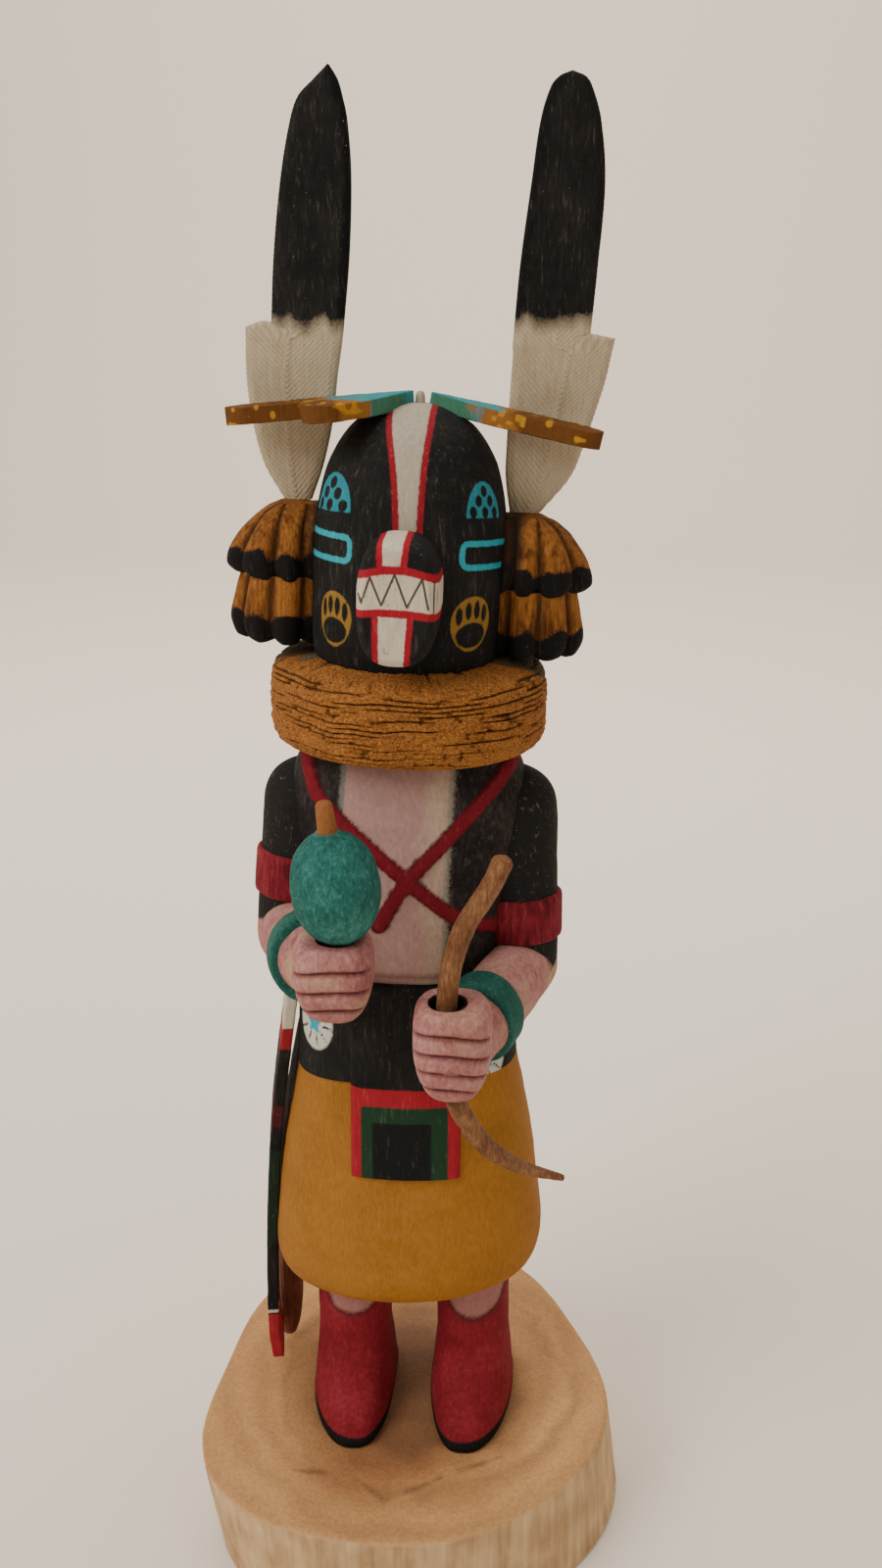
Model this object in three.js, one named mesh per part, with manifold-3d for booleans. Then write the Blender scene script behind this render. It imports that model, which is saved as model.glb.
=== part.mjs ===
// Carved kachina doll on a live-edge slice of wood, with painted feathers, a gourd rattle and a bow.
// Millimetres. The doll's left is +X, its back is +Y, +Z is up; the origin is the middle of the underside.

import * as THREE from 'three';
import { mergeVertices } from 'three/addons/utils/BufferGeometryUtils.js';
import Module from 'manifold-3d';

const wasm = await Module();
wasm.setup();
const { Manifold, Mesh } = wasm;

// Base slice
const baseThickness = 25;
const baseRadius = 46.95;
const baseLeanX = 3.1;
const baseLeanY = 1.5;
const baseEdgeRound = 1.2;
// Waves of the live edge round the base: how many, then the cosine and sine part as shares of the radius
const baseWaves = [[2, -0.028, 0.0217], [3, 0.0134, -0.0296], [4, -0.0164, -0.0111], [5, 0.0204, -0.0066]];

// Clearance between separate pieces that touch, and round the bow in its fist
const touchGap = 0.3;
const boreClearance = 0.4;
const boreMouthClearance = 1.2;

// Boots, heights above the top of the base
const bootWidth = 18.8;
const bootFront = 24;
const bootBack = 13.5;
const bootSpread = 13.5;
const bootShift = -0.6;
const ankleHeight = 17;

// Kilt and belt, the kilt's edges a little higher at the doll's left
const kiltHem = 33.3;
const kiltHeight = 55.2;
const kiltTop = kiltHem + kiltHeight;
const kiltWidth = 59.2;
const kiltFront = 20.5;
const kiltBack = 20;
const kiltShift = -1.7;
const kiltTilt = 1.5;
const beltHeight = 21.5;
const beltTop = kiltTop + beltHeight;
const beltRaise = 0.5;
const beltDip = 3.5;

// Apron panel on the front of the kilt and belt
const apronLeft = 10.5;
const apronRight = -12;
const apronDrop = 21.9;
const apronRaise = 1;

// Torso and the crossed straps on the chest
const torsoHeight = 49;
const torsoTop = beltTop + torsoHeight;
const torsoWidth = 47;
const torsoFront = 17;
const torsoBack = 15.5;
const strapWidth = 3.1;
const strapRaise = 0.6;
const strapCrossX = 0;
const strapCrossZ = beltTop + 20.2;

// Arms and fists
const shoulderRadius = 8.7;
const upperArmRadius = 6.9;
const forearmRadius = 6.8;
const bandRaise = 0.9;
const armbandHeight = 9.4;
const wristbandWidth = 6.5;
const fistWidth = 14.4;
const fistDepth = 14;
const fingerGroove = 0.9;

// Ruff under the mask
const ruffSeat = 3;
const ruffHeight = 17.6;
const ruffBottom = torsoTop - ruffSeat;
const ruffTop = ruffBottom + ruffHeight;
const ruffShift = -0.7;
const ruffWidth = 53.4;
const ruffDepth = 50.4;
const ruffTilt = 1.6;

// Mask, its dome and the snout, leaning to the doll's left with all that they carry
const headHeight = 46.4;
const headTop = ruffTop + headHeight;
const headWidth = 36.6;
const headFront = 19.2;
const headBack = 18;
const headShift = -1.3;
const headTilt = 3;
const headSink = 2.4;
const bossRadius = 0.9;
const bossRise = 1.8;
const snoutWidth = 14.8;
const snoutHeight = 22.8;
const snoutBottom = ruffTop + 3.2;
const snoutTop = snoutBottom + snoutHeight;
const snoutReach = 10;

// Ear tufts
const tuftReach = 35;
const tuftDepth = 21;
const tuftSeat = 1.1;
const tuftLowerHeight = 12.1;
const tuftUpperHeight = 13.9;
const tuftBottom = ruffTop + tuftSeat;
const tuftSplit = tuftBottom + tuftLowerHeight;
const tuftTop = tuftSplit + tuftUpperHeight;
const tuftLobes = 9;
const fluteDepth = 0.1;

// Feathers
const tallFeatherThickness = 2.3;
const tallFeatherY = 5;
const crownThickness = 3.2;
const crownWidth = 8.6;
const crownSink = 1.1;
const crownPoint = 0.3;

// Rattle and bow
const gourdRadius = 8.1;
const gourdHeight = 21.8;
const gourdSink = 1;
const nubHeight = 5.4;
const gourdLean = 6;
const nubRadius = 1.9;
const bowRadius = 2;

// Side sash and fox pelt
const sashThickness = 2.6;
const sashWidth = 12;
const sashTurn = 9;
const peltThickness = 6.4;
const peltWidth = 10;

const floor = baseThickness;
const RIGHT = -1;
const LEFT = 1;

// Value of every column of a table at one height, smooth through its rows
function rowsAt(rows, up) {
  const last = rows.length - 1;
  let i = 0;
  while (i < last - 1 && up > rows[i + 1][0]) i += 1;
  const [from, to] = [rows[i], rows[i + 1]];
  const before = rows[Math.max(i - 1, 0)];
  const after = rows[Math.min(i + 2, last)];
  const span = to[0] - from[0];
  const t = (up - from[0]) / span;
  const slope = (a, b, k) => (b[k] - a[k]) / (b[0] - a[0]);
  return from.map((value, k) => {
    const rise = span * slope(before, to, k) * (t ** 3 - 2 * t ** 2 + t);
    const fall = span * slope(from, after, k) * (t ** 3 - t ** 2);
    return value + (to[k] - value) * (3 * t ** 2 - 2 * t ** 3) + rise + fall;
  });
}

// Heights of a table's rows with the steps between them split
function splitRows(rows, parts) {
  const ups = [];
  for (let i = 0; i < rows.length - 1; i += 1) {
    for (let k = 0; k < parts; k += 1) {
      ups.push(rows[i][0] + ((rows[i + 1][0] - rows[i][0]) * k) / parts);
    }
  }
  ups.push(rows[rows.length - 1][0]);
  return ups.map((up) => rowsAt(rows, up));
}

// Signed power, for the rounded squares of a superellipse
function bent(value, power) {
  return Math.sign(value) * Math.abs(value) ** power;
}

// Closed ring in a level plane with its own front and back depth
function ring({ x, y, z, wide, front, back, power = 2.2, count = 36 }) {
  const points = [];
  for (let i = 0; i < count; i += 1) {
    const turn = (2 * Math.PI * i) / count;
    const side = bent(Math.cos(turn), 2 / power);
    const depth = bent(Math.sin(turn), 2 / power);
    points.push(new THREE.Vector3(x + wide * side, y + depth * (depth < 0 ? front : back), z));
  }
  return points;
}

// Closed geometry through rings of equal length, capped at both ends
function loft(rings) {
  const count = rings[0].length;
  const places = [];
  const faces = [];
  const middle = (points) => points.reduce((sum, p) => sum.add(p), new THREE.Vector3())
    .divideScalar(points.length);
  rings.forEach((points) => points.forEach((p) => places.push(p.x, p.y, p.z)));
  [rings[0], rings[rings.length - 1]].forEach((points) => {
    const p = middle(points);
    places.push(p.x, p.y, p.z);
  });
  const lastRing = (rings.length - 1) * count;
  const bottom = rings.length * count;
  for (let i = 0; i < count; i += 1) {
    const next = (i + 1) % count;
    for (let k = 0; k < rings.length - 1; k += 1) {
      const [a, b] = [k * count + i, k * count + next];
      faces.push(a, b, b + count, a, b + count, a + count);
    }
    faces.push(bottom, next, i);
    faces.push(bottom + 1, lastRing + i, lastRing + next);
  }
  const geometry = new THREE.BufferGeometry();
  geometry.setAttribute('position', new THREE.Float32BufferAttribute(places, 3));
  geometry.setIndex(faces);
  return geometry;
}

// Six times the volume that a closed geometry's faces enclose, negative where they point inwards
function signedVolume(geometry) {
  const place = geometry.attributes.position;
  const corner = (i) => new THREE.Vector3().fromBufferAttribute(place, geometry.index.array[i]);
  let sum = 0;
  for (let i = 0; i < geometry.index.count; i += 3) {
    sum += corner(i).dot(corner(i + 1).cross(corner(i + 2)));
  }
  return sum;
}

// three.js geometry to a closed solid with its faces outwards
function solid(geometry) {
  const bare = geometry.index ? geometry.toNonIndexed() : geometry.clone();
  Object.keys(bare.attributes).filter((name) => name !== 'position')
    .forEach((name) => bare.deleteAttribute(name));
  const merged = mergeVertices(bare, 1e-4);
  const faces = new Uint32Array(merged.index.array);
  if (signedVolume(merged) < 0) faces.reverse();
  return new Manifold(new Mesh({
    numProp: 3,
    vertProperties: new Float32Array(merged.attributes.position.array),
    triVerts: faces,
  }));
}

function geometryOf(body) {
  const mesh = body.getMesh();
  const geometry = new THREE.BufferGeometry();
  geometry.setAttribute('position', new THREE.Float32BufferAttribute(mesh.vertProperties, 3));
  geometry.setIndex([...mesh.triVerts]);
  geometry.computeVertexNormals();
  return geometry;
}

// Body of level rings from a table of [up, wide, front, back] shares
function body({ rows, bottom, top, x, y = 0, width, front, back, power, count, parts = 1, grow = 0 }) {
  return loft(splitRows(rows, parts).map(([up, wide, ahead, behind]) => ring({
    x,
    y,
    z: floor + bottom + (top - bottom) * up,
    wide: (width / 2) * wide + grow,
    front: front * ahead + grow,
    back: back * behind + grow,
    power,
    count,
  })));
}

// Block between two corners
function block(low, high) {
  const geometry = new THREE.BoxGeometry(high[0] - low[0], high[1] - low[1], high[2] - low[2]);
  geometry.translate((low[0] + high[0]) / 2, (low[1] + high[1]) / 2, (low[2] + high[2]) / 2);
  return solid(geometry);
}

// Straight limb with round ends, an ellipse across
function limb(from, to, startRadius, endRadius, { flat = 1, count = 16, dome = 3 } = {}) {
  const along = to.clone().sub(from);
  const length = along.length();
  along.normalize();
  const across = new THREE.Vector3(1, 0, 0).addScaledVector(along, -along.x).normalize();
  const upright = along.clone().cross(across);
  const stops = [];
  for (let i = 0; i <= dome; i += 1) {
    const turn = (Math.PI / 2) * Math.max(i / dome, 0.12);
    stops.push([-startRadius * Math.cos(turn), startRadius * Math.sin(turn)]);
  }
  for (let i = dome; i >= 0; i -= 1) {
    const turn = (Math.PI / 2) * Math.max(i / dome, 0.12);
    stops.push([length + endRadius * Math.cos(turn), endRadius * Math.sin(turn)]);
  }
  return loft(stops.map(([run, radius]) => {
    const middle = from.clone().addScaledVector(along, run);
    const points = [];
    for (let i = 0; i < count; i += 1) {
      const turn = (2 * Math.PI * i) / count;
      points.push(middle.clone().addScaledVector(across, radius * Math.cos(turn))
        .addScaledVector(upright, radius * flat * Math.sin(turn)));
    }
    return points;
  }));
}

// Round rod along a curve, its radius a function of the share of the way
function rod(curve, steps, count, radiusAt, start = 0, end = 1) {
  const side = new THREE.Vector3(0, 1, 0);
  const rings = [];
  for (let k = 0; k <= steps; k += 1) {
    const share = start + ((end - start) * k) / steps;
    const middle = curve.getPoint(share);
    const along = curve.getTangent(share);
    const across = side.clone().addScaledVector(along, -along.y).normalize();
    const upright = along.clone().cross(across);
    const points = [];
    for (let i = 0; i < count; i += 1) {
      const turn = (2 * Math.PI * i) / count;
      points.push(middle.clone().addScaledVector(across, radiusAt(share) * Math.cos(turn))
        .addScaledVector(upright, radiusAt(share) * Math.sin(turn)));
    }
    rings.push(points);
  }
  return loft(rings);
}

// Radius of the live edge at an angle round the slice
function edgeRadius(turn) {
  return baseWaves.reduce(
    (sum, [waves, cosine, sine]) => (
      sum + baseRadius * (cosine * Math.cos(waves * turn) + sine * Math.sin(waves * turn))
    ),
    baseRadius,
  );
}

// Slice of wood, its outline centred on the origin
function makeBase() {
  const count = 48;
  const stops = [
    [0, baseEdgeRound * 0.75],
    [baseEdgeRound * 0.65, baseEdgeRound * 0.17],
    [baseThickness * 0.5, 0],
    [baseThickness - baseEdgeRound, 0],
    [baseThickness - baseEdgeRound * 0.3, baseEdgeRound * 0.35],
    [baseThickness, baseEdgeRound],
  ];
  const rings = stops.map(([z, inset]) => {
    const down = 1 - z / baseThickness;
    const points = [];
    for (let i = 0; i < count; i += 1) {
      const turn = (2 * Math.PI * i) / count;
      const radius = edgeRadius(turn) - inset;
      points.push(new THREE.Vector3(
        radius * Math.cos(turn) + baseLeanX * down,
        radius * Math.sin(turn) + baseLeanY * down,
        z,
      ));
    }
    return points;
  });
  const geometry = loft(rings);
  geometry.computeBoundingBox();
  const centre = geometry.boundingBox.getCenter(new THREE.Vector3());
  return geometry.translate(-centre.x, -centre.y, 0);
}

// Boot with its foot, the shaft running up into the kilt
function bootSolid(side) {
  const shaftTop = kiltHem + kiltHeight * 0.2;
  const rows = [
    [0, 0.95, 0.99, 0.98],
    [0.1, 1, 1, 1],
    [0.3, 0.99, 0.93, 0.96],
    [0.55, 0.96, 0.74, 0.86],
    [0.8, 0.92, 0.53, 0.74],
    [1, 0.9, 0.45, 0.67],
    [shaftTop / ankleHeight, 0.9, 0.42, 0.65],
  ];
  return solid(body({
    rows,
    bottom: touchGap,
    top: ankleHeight,
    x: bootShift + side * bootSpread,
    width: bootWidth,
    front: bootFront,
    back: bootBack,
    power: 2.5,
    count: 16,
  }));
}

// Kilt and belt in one, with the belt's edge a little lower at the sides
const kiltRows = [
  [0, 0.6, 0.6, 0.6],
  [0.008, 0.8, 0.8, 0.8],
  [0.04, 0.915, 0.915, 0.915],
  [0.09, 0.975, 0.975, 0.975],
  [0.18, 1, 1, 1],
  [0.4, 0.965, 0.97, 0.97],
  [0.64, 0.905, 0.93, 0.935],
  [0.88, 0.815, 0.87, 0.88],
  [1, 0.77, 0.845, 0.865],
];

// Raise the doll's left side of a kilt or belt and lower its right side
function tiltKilt(geometry) {
  const place = geometry.attributes.position;
  for (let i = 0; i < place.count; i += 1) {
    place.setZ(i, place.getZ(i) + (kiltTilt * (place.getX(i) - kiltShift)) / (kiltWidth / 2));
  }
  return geometry;
}

function kiltSolid(grow = 0) {
  return solid(tiltKilt(body({
    rows: kiltRows,
    bottom: kiltHem,
    top: kiltTop,
    x: kiltShift,
    width: kiltWidth,
    front: kiltFront,
    back: kiltBack,
    power: 2.25,
    count: 32,
    grow,
  })));
}

function beltSolid(grow = 0) {
  const rows = [
    [0, 0.77, 0.845, 0.865],
    [0.5, 0.75, 0.835, 0.85],
    [0.94, 0.73, 0.82, 0.835],
    [1, 0.7, 0.79, 0.8],
  ];
  const rings = splitRows(rows, 1).map(([up, wide, ahead, behind]) => {
    const points = ring({
      x: kiltShift,
      y: 0,
      z: floor + kiltTop + (beltTop - kiltTop) * up,
      wide: (kiltWidth / 2) * wide + beltRaise + grow,
      front: kiltFront * ahead + beltRaise + grow,
      back: kiltBack * behind + beltRaise + grow,
      power: 2.25,
      count: 32,
    });
    points.forEach((p) => {
      const out = (p.x - kiltShift) / (kiltWidth / 2);
      p.z += (1 - up) * (kiltTilt * out - beltDip * out ** 2);
    });
    return points;
  });
  return solid(loft(rings));
}

// Low panel that follows the front of the kilt and belt
function apronSolid() {
  const cut = block(
    [apronRight, -kiltFront - apronRaise * 3, floor + kiltTop - apronDrop],
    [apronLeft, -kiltFront * 0.4, floor + beltTop],
  );
  return kiltSolid(apronRaise).add(beltSolid(apronRaise - beltRaise * 0.6)).intersect(cut);
}

function torsoSolid(grow = 0) {
  return solid(body({
    rows: [
      [0, 0.8, 0.96, 0.97],
      [0.14, 0.82, 0.97, 0.98],
      [0.34, 0.87, 1, 1],
      [0.54, 0.94, 1, 1],
      [0.7, 1, 0.97, 0.98],
      [0.84, 0.97, 0.9, 0.92],
      [0.94, 0.84, 0.78, 0.8],
      [1, 0.64, 0.62, 0.64],
    ],
    bottom: beltTop - beltHeight * 0.12,
    top: torsoTop,
    x: kiltShift / 2,
    width: torsoWidth,
    front: torsoFront,
    back: torsoBack,
    power: 2.4,
    count: 28,
    grow,
  }));
}

// One strap: from the crossing up over a shoulder and down to its lower end
function strapSolid(up, down) {
  const line = new THREE.Vector2(up[0] - down[0], up[1] - down[1]);
  const bar = new THREE.BoxGeometry(line.length(), torsoFront * 2, strapWidth);
  bar.rotateY(-Math.atan2(line.y, line.x));
  bar.translate((up[0] + down[0]) / 2, -torsoFront - 2, floor + (up[1] + down[1]) / 2);
  return torsoSolid(strapRaise).intersect(solid(bar));
}

function strapSolids() {
  const rise = torsoTop - torsoHeight * 0.04 - strapCrossZ;
  const fall = strapCrossZ - beltTop;
  const rightUp = [strapCrossX - rise * 0.84, strapCrossZ + rise];
  const leftUp = [strapCrossX + rise * 0.86, strapCrossZ + rise];
  const leftDown = [strapCrossX + fall * 0.43, strapCrossZ - fall * 0.35];
  const rightDown = [strapCrossX - fall * 0.3, strapCrossZ - fall * 0.38];
  return strapSolid(rightUp, leftDown).add(strapSolid(leftUp, rightDown));
}

// Joints of one arm: outward from the middle, then back, then up from the belt's top
const arms = {
  [RIGHT]: {
    shoulder: [21.4, 0, 33],
    bandMiddle: 17.7,
    elbow: [25.4, -3, 5],
    wrist: [18.4, -24.5, 10],
    fist: [11.6, -38, 12.4],
    fistBottom: 4.6,
    fistTop: 20.2,
    grooves: 3,
  },
  [LEFT]: {
    shoulder: [20.2, 0, 32],
    bandMiddle: 9.8,
    elbow: [22.8, -3.5, -1],
    wrist: [14.8, -24, -2.4],
    fist: [9.8, -38, -2.5],
    fistBottom: -11,
    fistTop: 8,
    grooves: 4,
  },
};

function joint(side, [out, back, up]) {
  return new THREE.Vector3(side * out, back, floor + beltTop + up);
}

// Slab across a limb, to keep only the part of it that a band covers
function bandSlab(middle, along, width, size) {
  const slab = new THREE.BoxGeometry(size, size, width);
  const turn = new THREE.Quaternion().setFromUnitVectors(new THREE.Vector3(0, 0, 1), along);
  slab.applyQuaternion(turn);
  slab.translate(middle.x, middle.y, middle.z);
  return solid(slab);
}

function armSolid(side) {
  const arm = arms[side];
  const shoulder = joint(side, arm.shoulder);
  const elbow = joint(side, arm.elbow);
  const wrist = joint(side, arm.wrist);
  const fist = joint(side, arm.fist);
  const upper = (grow) => solid(limb(shoulder, elbow, shoulderRadius + grow, upperArmRadius + grow));
  const lower = (grow) => {
    const radius = forearmRadius + grow;
    return solid(limb(elbow, wrist, radius, radius, { flat: 1.12 }));
  };
  const hand = solid(limb(wrist, fist, forearmRadius, forearmRadius * 0.9));
  const down = elbow.clone().sub(shoulder).normalize();
  const share = (arm.bandMiddle - arm.shoulder[2]) / (arm.elbow[2] - arm.shoulder[2]);
  const armband = upper(bandRaise)
    .intersect(bandSlab(shoulder.clone().lerp(elbow, share), down, armbandHeight, 4 * shoulderRadius));
  const forward = wrist.clone().sub(elbow).normalize();
  const wristband = lower(bandRaise)
    .intersect(bandSlab(wrist, forward, wristbandWidth, 4 * shoulderRadius));
  return upper(0).add(lower(0)).add(hand).add(armband).add(wristband);
}

// Fist with grooves between the fingers on its front
function fistSolid(side) {
  const arm = arms[side];
  const centre = joint(side, arm.fist);
  const bottom = floor + beltTop + arm.fistBottom;
  const height = arm.fistTop - arm.fistBottom;
  const shape = [[0, 0.4], [0.06, 0.6], [0.2, 0.82], [0.45, 0.98], [0.7, 1], [0.92, 0.95], [1, 0.8]];
  const steps = 4 * (arm.grooves + 1);
  const count = 16;
  const rings = [];
  for (let k = 0; k <= steps; k += 1) {
    const up = k / steps;
    const full = rowsAt(shape, up)[1];
    const cut = fingerGroove * (1 - Math.abs(Math.sin(Math.PI * (arm.grooves + 1) * up))) ** 3;
    const points = ring({
      x: centre.x,
      y: centre.y,
      z: bottom + height * up,
      wide: (fistWidth / 2) * full,
      front: (fistDepth / 2) * full - (up > 0.05 && up < 0.95 ? cut : 0),
      back: (fistDepth / 2) * full,
      power: 3,
      count,
    });
    rings.push(points);
  }
  return solid(loft(rings));
}

// Ruff, a thick padded-looking ring of wood under the mask
function ruffSolid() {
  const rows = [
    [0, 0.78, 0.78, 0.78],
    [0.05, 0.91, 0.91, 0.91],
    [0.16, 0.985, 0.985, 0.985],
    [0.4, 1, 1, 1],
    [0.72, 0.995, 0.995, 0.995],
    [0.84, 0.975, 0.975, 0.975],
    [0.9, 0.94, 0.94, 0.94],
    [0.95, 0.87, 0.87, 0.87],
    [1, 0.72, 0.72, 0.72],
  ];
  const geometry = body({
    rows,
    bottom: ruffBottom,
    top: ruffTop,
    x: ruffShift,
    width: ruffWidth,
    front: ruffDepth / 2,
    back: ruffDepth / 2,
    power: 2.15,
    count: 36,
  });
  const centre = floor + (ruffBottom + ruffTop) / 2;
  geometry.translate(0, 0, -centre);
  geometry.rotateY(THREE.MathUtils.degToRad(ruffTilt));
  geometry.translate(0, 0, centre);
  return solid(geometry);
}

// Turn a solid with the lean of the mask, about the middle of the ruff's top
function leaning(made) {
  const pivot = [headShift, 0, floor + ruffTop];
  return made.translate(pivot.map((value) => -value)).rotate([0, headTilt, 0]).translate(pivot);
}

// Mask and its dome, before they lean
function headSolid(grow = 0) {
  return solid(body({
    rows: [
      [0, 0.9, 0.88, 0.9],
      [0.06, 0.97, 0.96, 0.97],
      [0.16, 1, 1, 1],
      [0.48, 1, 1, 1],
      [0.508, 0.99, 0.99, 0.99],
      [0.637, 0.951, 0.955, 0.955],
      [0.748, 0.885, 0.89, 0.89],
      [0.838, 0.776, 0.785, 0.785],
      [0.918, 0.612, 0.62, 0.62],
      [0.963, 0.43, 0.43, 0.43],
      [0.99, 0.25, 0.25, 0.25],
      [1, 0.12, 0.12, 0.12],
    ],
    bottom: ruffTop - headSink,
    top: headTop,
    x: headShift,
    width: headWidth,
    front: headFront,
    back: headBack,
    power: 2.15,
    count: 32,
    grow,
  }));
}

function bossSolid() {
  const length = bossRise * 4;
  const boss = new THREE.CylinderGeometry(bossRadius * 0.8, bossRadius, length, 14);
  boss.rotateX(Math.PI / 2);
  boss.translate(crownCentre[0], crownCentre[1], floor + headTop + bossRise - length / 2);
  return solid(boss);
}

// Rounded block on the face, hollowed behind to sit over the mask
function makeSnout() {
  const middleZ = floor + (snoutBottom + snoutTop) / 2;
  const halfHeight = (snoutTop - snoutBottom) / 2;
  const stops = [[0, 1], [0.55, 1], [0.8, 0.96], [0.93, 0.87], [1, 0.7]];
  const start = -headFront + 5;
  const end = -headFront - snoutReach;
  const rings = stops.map(([share, full]) => ring({
    x: 0,
    y: 0,
    z: 0,
    wide: (snoutWidth / 2) * full ** 0.8,
    front: halfHeight * full ** 0.5,
    back: halfHeight * full ** 0.5,
    power: 2.7,
    count: 24,
  }).map((p) => new THREE.Vector3(headShift + p.x, start + (end - start) * share, middleZ + p.y)));
  return leaning(solid(loft(rings)).subtract(headSolid(touchGap)));
}

// One tier of a tuft: round lobes with sharp valleys between them
function tuftTier(side, rows, bottom, top) {
  const count = tuftLobes * 6;
  const middle = tuftReach * 0.66;
  const rings = splitRows(rows, 1).map(([up, reach, deep]) => {
    const points = [];
    for (let i = 0; i < count; i += 1) {
      const turn = (2 * Math.PI * i) / count;
      const lobe = 1 - fluteDepth * (1 - Math.abs(Math.sin((tuftLobes * turn) / 2)));
      const outward = Math.cos(turn);
      const wide = outward > 0 ? tuftReach * reach - middle : middle * 0.36;
      points.push(new THREE.Vector3(
        headShift + side * (middle + wide * outward * lobe),
        1 + (tuftDepth / 2) * deep * Math.sin(turn) * lobe,
        floor + bottom + (top - bottom) * up,
      ));
    }
    return points;
  });
  return solid(loft(rings));
}

// Two-tier tuft at the side of the mask, cut to sit against it
function makeTuft(side) {
  const upper = [
    [0, 0.9, 0.9],
    [0.05, 0.96, 0.97],
    [0.16, 1, 1],
    [0.4, 0.975, 0.98],
    [0.7, 0.89, 0.84],
    [0.9, 0.8, 0.62],
    [1, 0.72, 0.4],
  ];
  const lower = [
    [0, 0.9, 0.82],
    [0.06, 0.945, 0.92],
    [0.3, 0.98, 0.97],
    [0.7, 0.95, 0.95],
    [1, 0.92, 0.92],
  ];
  return leaning(tuftTier(side, upper, tuftSplit, tuftTop)
    .add(tuftTier(side, lower, tuftBottom, tuftSplit + 1))
    .subtract(headSolid(touchGap)));
}

// Outlines of the tall feathers: height above the tuft's top, outer edge and inner edge
const tallFeathers = {
  [RIGHT]: {
    rows: [
      [0.9, 24.6, 19.4],
      [7.3, 28.2, 17],
      [15.3, 30.2, 15],
      [23.3, 31, 13.9],
      [29.3, 30.8, 12.9],
      [31.8, 30.6, 12.6],
    ],
    upper: [
      [31.3, 26, 12.6],
      [44.3, 25, 11.2],
      [57.3, 23.2, 10.6],
      [66.3, 21.2, 11.1],
      [70.2, 19.6, 11.9],
      [72.8, 16.8, 12.7],
    ],
    tip: [75, 14.2],
    turn: 4,
  },
  [LEFT]: {
    rows: [
      [-1.5, 23.8, 18.3],
      [5.3, 29.6, 17.4],
      [11.3, 32, 17.5],
      [19.3, 34.6, 17.9],
      [27.3, 37, 18.4],
      [30.5, 37.8, 18.6],
    ],
    upper: [
      [28.6, 32.3, 18.3],
      [42.3, 33.4, 19.4],
      [56.3, 34.2, 21.2],
      [66.3, 33.1, 22.6],
      [71.6, 31.3, 24.3],
      [73.2, 30, 25.8],
    ],
    tip: [73.9, 27.8],
    turn: 8,
  },
};

// Thin plate cut to a feather's outline, with a notch where the barbs part
function makeTallFeather(side) {
  const feather = tallFeathers[side];
  const shape = new THREE.Shape();
  const outer = splitRows(feather.rows, 2).map(([z, out]) => new THREE.Vector2(out, z));
  const outerTop = splitRows(feather.upper, 2).map(([z, out]) => new THREE.Vector2(out, z));
  const innerTop = splitRows(feather.upper, 2).map(([z, , inner]) => new THREE.Vector2(inner, z)).reverse();
  const inner = splitRows(feather.rows.slice(0, -1), 2)
    .map(([z, , edge]) => new THREE.Vector2(edge, z)).reverse();
  const tip = new THREE.Vector2(feather.tip[1], feather.tip[0]);
  shape.setFromPoints([...outer, ...outerTop, tip, ...innerTop, ...inner]);
  const plate = new THREE.ExtrudeGeometry(shape, {
    depth: tallFeatherThickness,
    bevelEnabled: false,
  });
  plate.translate(0, 0, -tallFeatherThickness / 2);
  plate.rotateX(Math.PI / 2);
  const stem = (feather.rows[0][1] + feather.rows[0][2]) / 2;
  plate.translate(-stem, 0, floor + tuftTop);
  plate.rotateZ(THREE.MathUtils.degToRad(feather.turn));
  plate.translate(stem, tallFeatherY, 0);
  let made = solid(plate);
  if (side === RIGHT) made = made.mirror([1, 0, 0]);
  return made.subtract(tuftClearance(side));
}

// Room that a tall feather leaves for the tuft it stands on
function tuftClearance(side) {
  const top = floor + tuftTop + touchGap;
  const reach = side * tuftReach * 1.2;
  const low = [Math.min(reach, 0), -tuftDepth, floor + ruffTop];
  return leaning(block(low, [Math.max(reach, 0), tuftDepth, top]));
}

// Crown plates: length, the way each points in degrees, and how far it drops on the way out
const crownCentre = [1.7, 0.5];
const crownPlates = {
  right: { length: 35.3, heading: 186, drop: 3 },
  front: { length: 24.5, heading: 220, drop: 1.7 },
  left: { length: 33.6, heading: -7, drop: 7.1 },
};

function makeCrownPlate({ length, heading, drop }) {
  const start = bossRadius + touchGap * 2;
  const shape = new THREE.Shape();
  const half = crownWidth / 2;
  const taper = 14;
  shape.moveTo(start, crownPoint);
  shape.lineTo(taper, half * 0.94);
  shape.lineTo(length - half, half);
  shape.quadraticCurveTo(length - half * 0.2, half, length, half * 0.35);
  shape.lineTo(length, -half * 0.35);
  shape.quadraticCurveTo(length - half * 0.2, -half, length - half, -half);
  shape.lineTo(taper, -half * 0.94);
  shape.lineTo(start, -crownPoint);
  shape.closePath();
  const cut = { depth: crownThickness, bevelEnabled: false, curveSegments: 5 };
  const plate = new THREE.ExtrudeGeometry(shape, cut);
  plate.rotateY(Math.atan2(drop, length));
  plate.rotateZ(THREE.MathUtils.degToRad(heading));
  plate.translate(crownCentre[0], crownCentre[1], floor + headTop - crownSink);
  return solid(plate).subtract(leaning(headSolid(touchGap)));
}

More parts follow.
